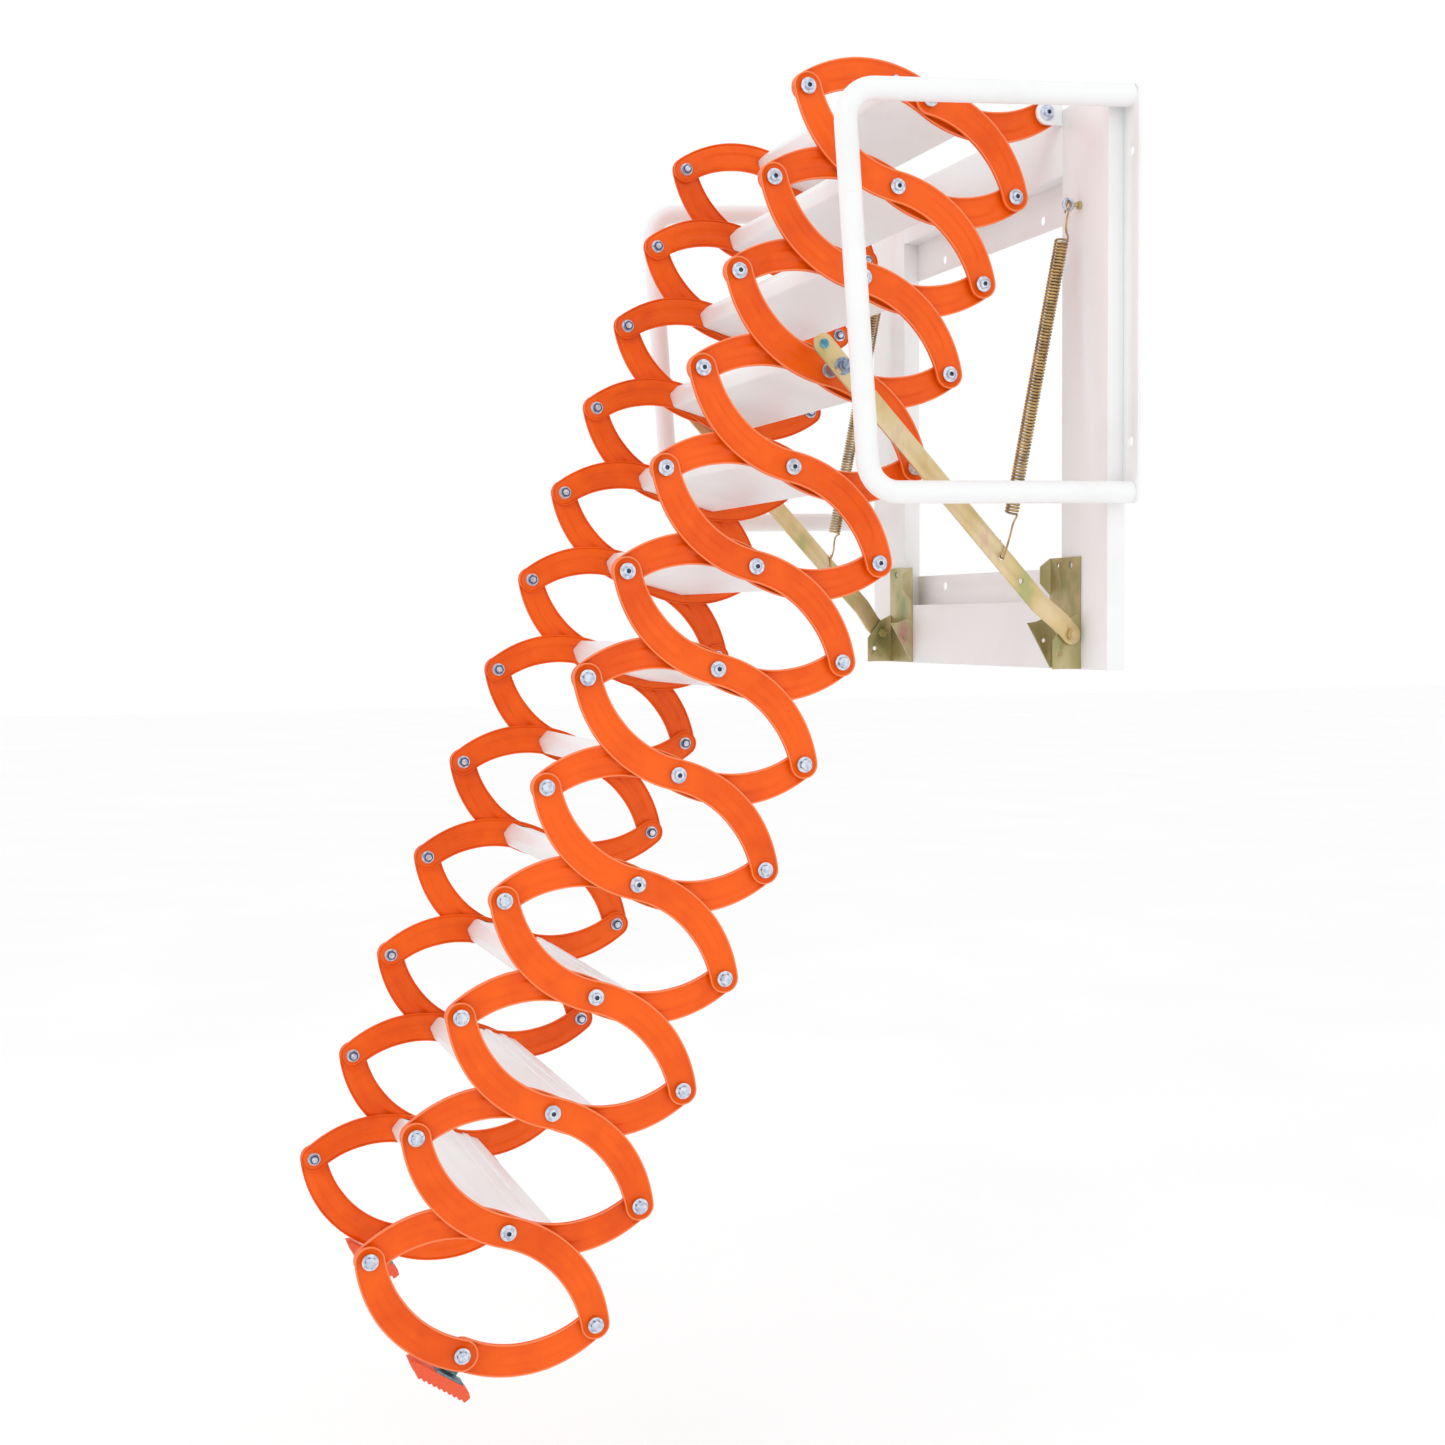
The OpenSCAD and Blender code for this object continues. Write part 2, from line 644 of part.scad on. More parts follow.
from_screws() frame_jambs();
from_screws() frame_rails();
from_screws() hanger_brackets();
from_screws() lever_brackets();
from_screws() frame_fasteners();
from_screws() handrails();
from_screws() lever_arms();
from_screws() springs();
from_screws() feet();
for (i = [0 : treads]) from_screws() outer_links(i);
for (i = [0 : treads]) from_screws() inner_links(i);
for (i = [0 : treads]) from_screws() pivot_bolts(i);
for (i = [0 : treads - 1]) from_screws() tread(i);
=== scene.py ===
"""The looks of a wall-mounted concertina attic ladder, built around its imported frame.

Lengths are in metres. X runs across the ladder, Y into the wall and Z up, and the origin is
the middle of the hatch frame's four wall screws. The ladder opens towards -Y.
"""

from __future__ import annotations

import json
import logging
import math
from dataclasses import dataclass
from enum import Enum
from typing import Any, Callable, Iterable, Sequence

import bmesh
import bpy
from mathutils import Matrix, Vector

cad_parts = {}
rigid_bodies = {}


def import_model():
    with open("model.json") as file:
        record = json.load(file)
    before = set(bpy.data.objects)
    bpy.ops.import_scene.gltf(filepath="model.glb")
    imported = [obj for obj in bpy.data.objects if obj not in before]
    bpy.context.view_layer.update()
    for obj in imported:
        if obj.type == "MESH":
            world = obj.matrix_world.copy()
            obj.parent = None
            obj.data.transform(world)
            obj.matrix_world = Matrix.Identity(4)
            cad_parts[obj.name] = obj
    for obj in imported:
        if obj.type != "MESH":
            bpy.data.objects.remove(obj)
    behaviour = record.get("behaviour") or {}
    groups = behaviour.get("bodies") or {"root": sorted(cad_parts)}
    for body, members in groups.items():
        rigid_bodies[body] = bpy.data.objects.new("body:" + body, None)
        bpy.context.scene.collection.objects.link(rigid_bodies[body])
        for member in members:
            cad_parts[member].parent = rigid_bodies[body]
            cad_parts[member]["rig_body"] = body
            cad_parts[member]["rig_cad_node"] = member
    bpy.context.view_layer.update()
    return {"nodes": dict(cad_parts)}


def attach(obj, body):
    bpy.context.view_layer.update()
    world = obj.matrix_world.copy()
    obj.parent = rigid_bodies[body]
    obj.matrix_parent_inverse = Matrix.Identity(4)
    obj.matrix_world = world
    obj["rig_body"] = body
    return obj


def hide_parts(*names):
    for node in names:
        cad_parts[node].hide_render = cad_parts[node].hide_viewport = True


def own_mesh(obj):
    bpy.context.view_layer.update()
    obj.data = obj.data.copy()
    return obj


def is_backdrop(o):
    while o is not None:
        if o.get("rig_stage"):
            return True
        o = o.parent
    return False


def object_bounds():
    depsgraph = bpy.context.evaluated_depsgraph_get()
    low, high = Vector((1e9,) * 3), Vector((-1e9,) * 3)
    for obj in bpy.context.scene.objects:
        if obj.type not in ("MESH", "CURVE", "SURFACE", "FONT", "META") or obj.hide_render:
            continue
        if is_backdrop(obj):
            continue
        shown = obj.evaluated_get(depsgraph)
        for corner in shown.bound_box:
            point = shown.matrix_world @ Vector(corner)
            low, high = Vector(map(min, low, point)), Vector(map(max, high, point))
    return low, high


LOG = logging.getLogger("attic_ladder")

Point = tuple[float, float]
Test = Callable[[Vector], bool]
Cast = tuple[bpy.types.Object, Matrix]


# ---------------------------------------------------------------- shader maths
class Wire:
    """A shader socket that takes part in arithmetic."""

    def __init__(self, graph: "Graph", socket: bpy.types.NodeSocket) -> None:
        """Wraps an output socket of a graph."""
        self.graph = graph
        self.socket = socket

    def _math(self, operation: str, first: Any, second: Any) -> "Wire":
        """Adds a Math node for two values or wires."""
        node = self.graph.node("ShaderNodeMath", {"operation": operation}, {0: first, 1: second})
        return Wire(self.graph, node.outputs[0])

    def __add__(self, other: Any) -> "Wire":
        """self + other."""
        return self._math("ADD", self, other)

    __radd__ = __add__

    def __sub__(self, other: Any) -> "Wire":
        """self - other."""
        return self._math("SUBTRACT", self, other)

    def __rsub__(self, other: Any) -> "Wire":
        """other - self."""
        return self._math("SUBTRACT", other, self)

    def __mul__(self, other: Any) -> "Wire":
        """self * other."""
        return self._math("MULTIPLY", self, other)

    __rmul__ = __mul__


class Graph:
    """One material's node tree, ready to be wired."""

    def __init__(self, name: str) -> None:
        """Makes an empty material with a Principled shader and its output."""
        self.material = bpy.data.materials.new(name)
        self.material.use_nodes = True
        self.tree = self.material.node_tree
        self.tree.nodes.clear()
        self.shader = self.node("ShaderNodeBsdfPrincipled", {}, {})
        output = self.node("ShaderNodeOutputMaterial", {}, {})
        self.tree.links.new(self.shader.outputs["BSDF"], output.inputs["Surface"])
        self.place = Wire(self, self.node("ShaderNodeTexCoord", {}, {}).outputs["Object"])

    def node(self, kind: str, settings: dict[str, Any], inputs: dict[Any, Any]) -> bpy.types.Node:
        """Adds a node.

        Args:
            kind: The node's type.
            settings: Its own settings, set before its sockets. "stops" fills a colour ramp.
            inputs: Values or wires by socket name or number.

        Returns:
            The new node.
        """
        node = self.tree.nodes.new(kind)
        for key, value in settings.items():
            if key == "stops":
                self._fill_ramp(node.color_ramp, value)
            else:
                setattr(node, key, value)
        for key, value in inputs.items():
            self.feed(node, key, value)
        return node

    def feed(self, node: bpy.types.Node, key: Any, value: Any) -> None:
        """Gives a node's socket a value or a wire."""
        if isinstance(value, Wire):
            self.tree.links.new(value.socket, node.inputs[key])
        else:
            node.inputs[key].default_value = value

    @staticmethod
    def _fill_ramp(ramp: bpy.types.ColorRamp, stops: Sequence[tuple[float, Sequence[float]]]) -> None:
        """Sets a colour ramp's stops, each a place and a colour."""
        while len(ramp.elements) < len(stops):
            ramp.elements.new(1.0)
        for element, (place, colour) in zip(ramp.elements, stops):
            element.position = place
            element.color = (*colour, 1.0)

    def noise(self, scale: float, detail: float = 3.0, stretch: Sequence[float] = (1, 1, 1)) -> Wire:
        """A cloud of values from 0 to 1 over the object's own place."""
        mapping = self.node("ShaderNodeMapping", {}, {"Vector": self.place, "Scale": tuple(stretch)})
        node = self.node("ShaderNodeTexNoise", {}, {
            "Vector": Wire(self, mapping.outputs[0]), "Scale": scale, "Detail": detail})
        return Wire(self, node.outputs["Fac"])

    def ramp(self, value: Wire, stops: Sequence[tuple[float, Sequence[float]]]) -> Wire:
        """Turns a value into a colour."""
        node = self.node("ShaderNodeValToRGB", {"stops": stops}, {"Fac": value})
        return Wire(self, node.outputs["Color"])

    def blend(self, share: Any, first: Any, second: Any) -> Wire:
        """Mixes two colours by a share."""
        node = self.node("ShaderNodeMix", {"data_type": "RGBA"}, {
            0: share,
            6: first if isinstance(first, Wire) else (*first, 1.0),
            7: second if isinstance(second, Wire) else (*second, 1.0)})
        return Wire(self, node.outputs[2])

    def attribute(self, name: str) -> Wire:
        """A named number kept on the mesh."""
        node = self.node("ShaderNodeAttribute", {"attribute_name": name}, {})
        return Wire(self, node.outputs["Fac"])

    def relief(self, height: Wire, distance: float, strength: float = 1.0) -> Wire:
        """A bumped normal from a height."""
        node = self.node("ShaderNodeBump", {}, {
            "Height": height, "Distance": distance, "Strength": strength})
        return Wire(self, node.outputs["Normal"])

    def finish(self, plain: dict[str, Any], varied: dict[str, Wire]) -> bpy.types.Material:
        """Sets the shader's even values and links what changes over the surface."""
        for key, value in {**plain, **varied}.items():
            self.feed(self.shader, key, value)
        return self.material


# ---------------------------------------------------------------- finishes
class Finish(Enum):
    """The ladder's finishes, by the record's material slot."""

    ORANGE = "orange_paint"
    WHITE = "white_paint"
    YELLOW_ZINC = "yellow_zinc"
    BOLT = "bolt_steel"
    SPRING = "spring_steel"
    RUBBER = "rubber"


@dataclass(frozen=True)
class GlossOrange:
    """Glossy orange paint on a pressed link, with a painted highlight along the crest of its rim."""

    body: tuple[float, float, float] = (0.93, 0.124, 0.004)
    deep: tuple[float, float, float] = (0.79, 0.086, 0.002)
    # rim: the pale colour of the painted highlight on the rim's crest, not a colour of the paint
    rim: tuple[float, float, float] = (1.0, 0.30, 0.12)

    def material(self) -> bpy.types.Material:
        """Makes the material."""
        g = Graph("gloss_orange")
        cloud = g.noise(7.0, 2.0)
        mottle = g.noise(38.0, 4.0)
        tone = g.ramp(cloud * 0.7 + mottle * 0.3, [(0.36, self.deep), (0.58, self.body)])
        # Painted highlight: the rim's crest is blended towards the pale rim colour.
        colour = g.blend(g.attribute("rim") * 0.8, tone, self.rim)
        peel = g.noise(420.0, 2.0)
        return g.finish(
            {"Coat Weight": 0.16, "Coat Roughness": 0.10, "Specular IOR Level": 0.16},
            {"Base Color": colour, "Roughness": 0.28 + mottle * 0.16,
             "Normal": g.relief(peel + mottle * 1.5, 0.0003, 0.22)})


@dataclass(frozen=True)
class PowderWhite:
    """Satin white powder coat, a little grubby in broad patches."""

    clean: tuple[float, float, float] = (0.895, 0.90, 0.905)
    soiled: tuple[float, float, float] = (0.835, 0.84, 0.84)

    def material(self) -> bpy.types.Material:
        """Makes the material."""
        g = Graph("powder_white")
        patches = g.noise(5.0, 5.0)
        grain = g.noise(1400.0, 2.0)
        colour = g.ramp(patches, [(0.30, self.soiled), (0.52, self.clean)])
        return g.finish(
            {"Coat Weight": 0.15, "Coat Roughness": 0.25},
            {"Base Color": colour, "Roughness": 0.36 + patches * 0.16,
             "Normal": g.relief(grain, 0.00025, 0.5)})


@dataclass(frozen=True)
class YellowZinc:
    """Yellow passivated zinc with its green and rose clouds."""

    name: str = "yellow_zinc"
    gold: tuple[float, float, float] = (0.66, 0.50, 0.25)
    green: tuple[float, float, float] = (0.44, 0.43, 0.19)
    rose: tuple[float, float, float] = (0.62, 0.40, 0.30)
    pale: tuple[float, float, float] = (0.72, 0.58, 0.36)

    def material(self) -> bpy.types.Material:
        """Makes the material."""
        g = Graph(self.name)
        clouds = g.noise(16.0, 3.0, (1, 1, 0.6))
        fine = g.noise(240.0, 4.0, (1, 1, 0.25))
        colour = g.ramp(clouds * 0.9 + fine * 0.1, [
            (0.34, self.green), (0.45, self.gold), (0.56, self.pale), (0.68, self.rose)])
        return g.finish({"Metallic": 0.75}, {
            "Base Color": colour, "Roughness": 0.30 + fine * 0.22,
            "Normal": g.relief(fine, 0.0002, 0.4)})


@dataclass(frozen=True)
class BrightZinc:
    """Bright zinc plate of bolts and washers."""

    name: str = "bright_zinc"
    light: tuple[float, float, float] = (0.74, 0.79, 0.86)
    dark: tuple[float, float, float] = (0.42, 0.49, 0.62)
    roughness: float = 0.26

    def material(self) -> bpy.types.Material:
        """Makes the material."""
        g = Graph(self.name)
        patches = g.noise(190.0, 3.0)
        colour = g.ramp(patches, [(0.35, self.dark), (0.62, self.light)])
        return g.finish({"Metallic": 0.85}, {
            "Base Color": colour, "Roughness": self.roughness + patches * 0.2,
            "Normal": g.relief(patches, 0.0002, 0.3)})


@dataclass(frozen=True)
class SpringWire:
    """Drawn wire, browned by its passivation."""

    bronze: tuple[float, float, float] = (0.60, 0.42, 0.18)
    umber: tuple[float, float, float] = (0.27, 0.18, 0.10)

    def material(self) -> bpy.types.Material:
        """Makes the material."""
        g = Graph("spring_wire")
        patches = g.noise(60.0, 3.0)
        colour = g.ramp(patches, [(0.32, self.umber), (0.60, self.bronze)])
        return g.finish({"Metallic": 0.85}, {
            "Base Color": colour, "Roughness": 0.28 + patches * 0.2})


@dataclass(frozen=True)
class Moulded:
    """A moulded plastic or rubber in one colour with a faint mottle, also used as the plain dark colour of painted
    shade in sockets.
    """

    name: str
    colour: tuple[float, float, float]
    roughness: float = 0.5

    def material(self) -> bpy.types.Material:
        """Makes the material."""
        g = Graph(self.name)
        mottle = g.noise(300.0, 3.0)
        darker = tuple(0.88 * c for c in self.colour)
        return g.finish({}, {
            "Base Color": g.ramp(mottle, [(0.35, darker), (0.62, self.colour)]),
            "Roughness": self.roughness - 0.08 + mottle * 0.16,
            "Normal": g.relief(mottle, 0.0003, 0.4)})


class Palette:
    """Every material of the ladder, made once."""

    def __init__(self) -> None:
        """Makes the materials."""
        self.orange = GlossOrange().material()
        self.white = PowderWhite().material()
        self.zinc = YellowZinc().material()
        self.olive = YellowZinc("olive_zinc", (0.44, 0.37, 0.18), (0.26, 0.29, 0.12), (0.48, 0.27, 0.22),
                                (0.52, 0.46, 0.26)).material()
        self.bolt = BrightZinc().material()
        # A darker zinc; on the hexagon heads' sides it is painted shade.
        self.dark_zinc = BrightZinc("darkened_zinc", (0.36, 0.42, 0.52), (0.14, 0.19, 0.28), 0.36).material()
        self.rivet = BrightZinc("blue_zinc", (0.16, 0.42, 0.52), (0.05, 0.20, 0.30), 0.22).material()
        self.nylon = Moulded("blue_nylon", (0.022, 0.055, 0.17), 0.4).material()
        # Painted shade: a dark colour for the insides of the sockets and slots.
        self.socket_shade = Moulded("painted_socket_shade", (0.055, 0.085, 0.15), 0.5).material()
        self.spring = SpringWire().material()
        self.rubber = Moulded("orange_rubber", (0.88, 0.105, 0.032), 0.55).material()
        self.shoe = BrightZinc("shoe_steel", (0.20, 0.36, 0.40), (0.10, 0.20, 0.24), 0.40).material()


# ---------------------------------------------------------------- the bench
class Bench:
    """Tools that shape a mesh with the modelling operators."""

    @staticmethod
    def clear() -> None:
        """Leaves edit mode and deselects everything."""
        if bpy.context.object is not None and bpy.context.object.mode != "OBJECT":
            bpy.ops.object.mode_set(mode="OBJECT")
        bpy.ops.object.select_all(action="DESELECT")

    @staticmethod
    def grab(*pieces: bpy.types.Object) -> None:
        """Selects only these pieces, the first one active."""
        Bench.clear()
        for piece in pieces:
            piece.select_set(True)
        bpy.context.view_layer.objects.active = pieces[0]

    @staticmethod
    def open(piece: bpy.types.Object) -> None:
        """Opens a piece in edit mode with nothing selected."""
        Bench.grab(piece)
        bpy.ops.object.mode_set(mode="EDIT")
        bpy.ops.mesh.select_all(action="DESELECT")

    @staticmethod
    def close() -> None:
        """Goes back to object mode."""
        bpy.ops.object.mode_set(mode="OBJECT")

    @staticmethod
    def pick(test: Test, kind: str = "VERT") -> int:
        """Selects what lies where the test says, in the open piece.

        Args:
            test: Says yes to the middle of a vertex, edge or face.
            kind: VERT, EDGE or FACE.

        Returns:
            How many are selected.
        """
        mesh = bpy.context.object.data
        bpy.ops.mesh.select_mode(type=kind)
        bpy.ops.mesh.select_all(action="DESELECT")
        work = bmesh.from_edit_mesh(mesh)
        if kind == "VERT":
            chosen = [v for v in work.verts if test(v.co)]
        elif kind == "EDGE":
            chosen = [e for e in work.edges if test((e.verts[0].co + e.verts[1].co) / 2)]
        else:
            chosen = [f for f in work.faces if test(f.calc_center_median())]
        for item in chosen:
            item.select_set(True)
        work.select_flush_mode()
        bmesh.update_edit_mesh(mesh)
        return len(chosen)

    @staticmethod
    def chain(name: str, points: Sequence[Sequence[float]]) -> bpy.types.Object:
        """A row of vertices along points: one column of a grid, moved onto them."""
        Bench.clear()
        bpy.ops.mesh.primitive_grid_add(x_subdivisions=1, y_subdivisions=len(points) - 1, size=2)
        piece = bpy.context.object
        piece.name = name
        Bench.open(piece)
        Bench.pick(lambda p: p.x > 0)
        bpy.ops.mesh.delete(type="VERT")
        work = bmesh.from_edit_mesh(piece.data)
        for vertex, point in zip(sorted(work.verts, key=lambda v: v.co.y), points):
            vertex.co = Vector(point)
        bmesh.update_edit_mesh(piece.data)
        Bench.close()
        return piece

    @staticmethod
    def prism(name: str, outline: Sequence[Point], start: float, end: float) -> bpy.types.Object:
        """A closed outline drawn out along z."""
        piece = Bench.chain(name, [(*p, start) for p in outline])
        Bench.open(piece)
        bpy.ops.mesh.select_all(action="SELECT")
        bpy.ops.mesh.edge_face_add()
        bpy.ops.mesh.extrude_region_move(TRANSFORM_OT_translate={"value": (0, 0, end - start)})
        Bench.close()
        Bench.weld(piece)
        return piece

    @staticmethod
    def modify(piece: bpy.types.Object, kind: str, **settings: Any) -> None:
        """Adds a modifier and applies it."""
        Bench.grab(piece)
        modifier = piece.modifiers.new(kind.lower(), kind)
        for key, value in settings.items():
            setattr(modifier, key, value)
        bpy.ops.object.modifier_apply(modifier=modifier.name)

    @staticmethod
    def soften(piece: bpy.types.Object, width: float, segments: int = 2, angle: float = 30.0) -> None:
        """Rounds every edge sharper than an angle."""
        Bench.modify(piece, "BEVEL", width=width, segments=segments, limit_method="ANGLE",
                     angle_limit=math.radians(angle), use_clamp_overlap=True)

    @staticmethod
    def round_top(piece: bpy.types.Object, above: float, offset: float, segments: int) -> None:
        """Rounds the edges above a height."""
        Bench.open(piece)
        Bench.pick(lambda p: p.z > above, "EDGE")
        bpy.ops.mesh.bevel(offset=offset, segments=segments, affect="EDGES")
        Bench.close()

    @staticmethod
    def smooth(angle: float, *pieces: bpy.types.Object) -> None:
        """Smooth shading with creases at sharper angles."""
        for piece in pieces:
            Bench.grab(piece)
            bpy.ops.object.shade_smooth_by_angle(angle=math.radians(angle))

    @staticmethod
    def weld(piece: bpy.types.Object, distance: float = 2e-5, outward: bool = True) -> None:
        """Merges doubled vertices, and turns the faces outwards."""
        Bench.open(piece)
        bpy.ops.mesh.select_all(action="SELECT")
        bpy.ops.mesh.remove_doubles(threshold=distance)
        if outward:
            bpy.ops.mesh.normals_make_consistent(inside=False)
        Bench.close()

    @staticmethod
    def cut(piece: bpy.types.Object, cutter: bpy.types.Object) -> None:
        """Takes a cutter's shape out of a piece, and the cutter away."""
        Bench.modify(piece, "BOOLEAN", object=cutter, operation="DIFFERENCE", solver="EXACT")
        bpy.data.objects.remove(cutter)

    @staticmethod
    def peg(radius: float, start: Sequence[float], end: Sequence[float], sides: int = 32) -> bpy.types.Object:
        """A round or sided bar between two points."""
        Bench.clear()
        first, last = Vector(start), Vector(end)
        along = last - first
        bpy.ops.mesh.primitive_cylinder_add(
            vertices=sides, radius=radius, depth=along.length, location=(first + last) / 2,
            rotation=along.to_track_quat("Z", "Y").to_euler())
        Bench.settle(bpy.context.object)
        return bpy.context.object

    @staticmethod
    def slab(low: Sequence[float], high: Sequence[float]) -> bpy.types.Object:
        """A block between two corners."""
        Bench.clear()
        low, high = Vector(low), Vector(high)
        bpy.ops.mesh.primitive_cube_add(size=1, location=(low + high) / 2)
        bpy.context.object.scale = high - low
        Bench.settle(bpy.context.object)
        return bpy.context.object

    @staticmethod
    def settle(piece: bpy.types.Object) -> None:
        """Puts a piece's place, turn and scale into its mesh."""
        Bench.grab(piece)
        bpy.ops.object.transform_apply(location=True, rotation=True, scale=True)

    @staticmethod
    def paint(piece: bpy.types.Object, *materials: bpy.types.Material) -> None:
        """Gives a piece its materials, the first one all over."""
        piece.data.materials.clear()
        for material in materials:
            piece.data.materials.append(material)

    @staticmethod
    def mark(piece: bpy.types.Object, test: Test) -> None:
        """Gives the faces where the test says the second material, and the others the first."""
        for face in piece.data.polygons:
            face.material_index = int(test(face.center))

    @staticmethod
    def hang(piece: bpy.types.Object, node: str, body: str, finish: Finish) -> None:
        """Puts a finished piece on its body, in place of its CAD node."""
        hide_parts(node)
        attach(piece, body)
        LOG.info("%s rides on %s", piece.name, body)

    @staticmethod
    def join(name: str, pieces: Sequence[bpy.types.Object]) -> bpy.types.Object:
        """Joins pieces into the first and names it."""
        Bench.grab(*pieces)
        if len(pieces) > 1:
            bpy.ops.object.join()
        joined = bpy.context.object
        joined.name = joined.data.name = name
        return joined

    @staticmethod
    def cast(name: str, casts: Iterable[Cast]) -> bpy.types.Object:
        """Copies patterns to their places and joins them as one piece."""
        made = []
        for pattern, matrix in casts:
            copy = pattern.copy()
            copy.data = pattern.data.copy()
            copy.data.transform(matrix)
            if matrix.determinant() < 0:
                copy.data.flip_normals()
            bpy.context.scene.collection.objects.link(copy)
            made.append(copy)
        return Bench.join(name, made)


class Patterns:
    """Pieces that are only copied, taken away at the end."""

    def __init__(self) -> None:
        """Starts with none."""
        self.kept: list[bpy.types.Object] = []

    def keep(self, piece: bpy.types.Object) -> bpy.types.Object:
        """Remembers a pattern."""
        self.kept.append(piece)
        return piece

    def clear(self) -> None:
        """Takes the patterns away."""
        for piece in self.kept:
            bpy.data.objects.remove(piece)
        self.kept.clear()


# ---------------------------------------------------------------- where things are
@dataclass(frozen=True)
class Lattice:
    """The crossed links' pins in the side view, as (y, z), and the layers across."""

    pitch: float = 0.180
    top_angle: float = 68.7
    step: float = 0.57
    rake: float = 22.1
    stages: int = 12
    hanger: Point = (-0.051, 0.389)
    inner_x: float = 0.24585
    outer_x: float = 0.25335
    head_seat: float = 0.26015

    @staticmethod
    def ray(degrees: float) -> Vector:
        """A unit vector at an angle from +Y towards +Z."""
        return Vector((math.cos(math.radians(degrees)), math.sin(math.radians(degrees))))

    @property
    def heading(self) -> float:
        """The angle of the ladder's line."""
        return 270.0 - self.rake

    def opening(self, stage: int) -> float:
        """The angle between the ladder's line and a stage's links."""
        return self.top_angle - self.step * stage

    def middle(self, stage: int) -> Vector:
        """A stage's middle pin."""
        place = Vector(self.hanger) + self.pitch * self.ray(self.heading - self.opening(-1))
        for above in range(stage):
            place += 2 * self.pitch * math.cos(math.radians(self.opening(above))) * self.ray(self.heading)
        return place

    def room(self, stage: int) -> Vector:
        """A stage's lower room-side pin."""
        return self.middle(stage) + self.pitch * self.ray(self.heading - self.opening(stage))

    def wall(self, stage: int) -> Vector:
        """A stage's lower wall-side pin, or the hanger above the first."""
        if stage < 0:
            return Vector(self.hanger)
        return self.middle(stage) + self.pitch * self.ray(self.heading + self.opening(stage))

    @staticmethod
    def view(place: Vector, x: float = 0.0, turn: float = 0.0) -> Matrix:
        """Takes a shape drawn from the side (x to the wall, y up, z outwards) to a place.

        Args:
            place: The pin, as (y, z).
            x: The layer across the ladder.
            turn: The shape's turn in degrees.

        Returns:
            The matrix of the near side.
        """
        swap = Matrix(((0, 0, 1, 0), (1, 0, 0, 0), (0, 1, 0, 0), (0, 0, 0, 1)))
        return (Matrix.Translation((x, place[0], place[1]))
                @ Matrix.Rotation(math.radians(turn), 4, "X") @ swap)

    @staticmethod
    def both(matrix: Matrix) -> tuple[Matrix, Matrix]:
        """The near side's matrix and its mirror image."""
        return matrix, Matrix.Scale(-1, 4, (1, 0, 0)) @ matrix


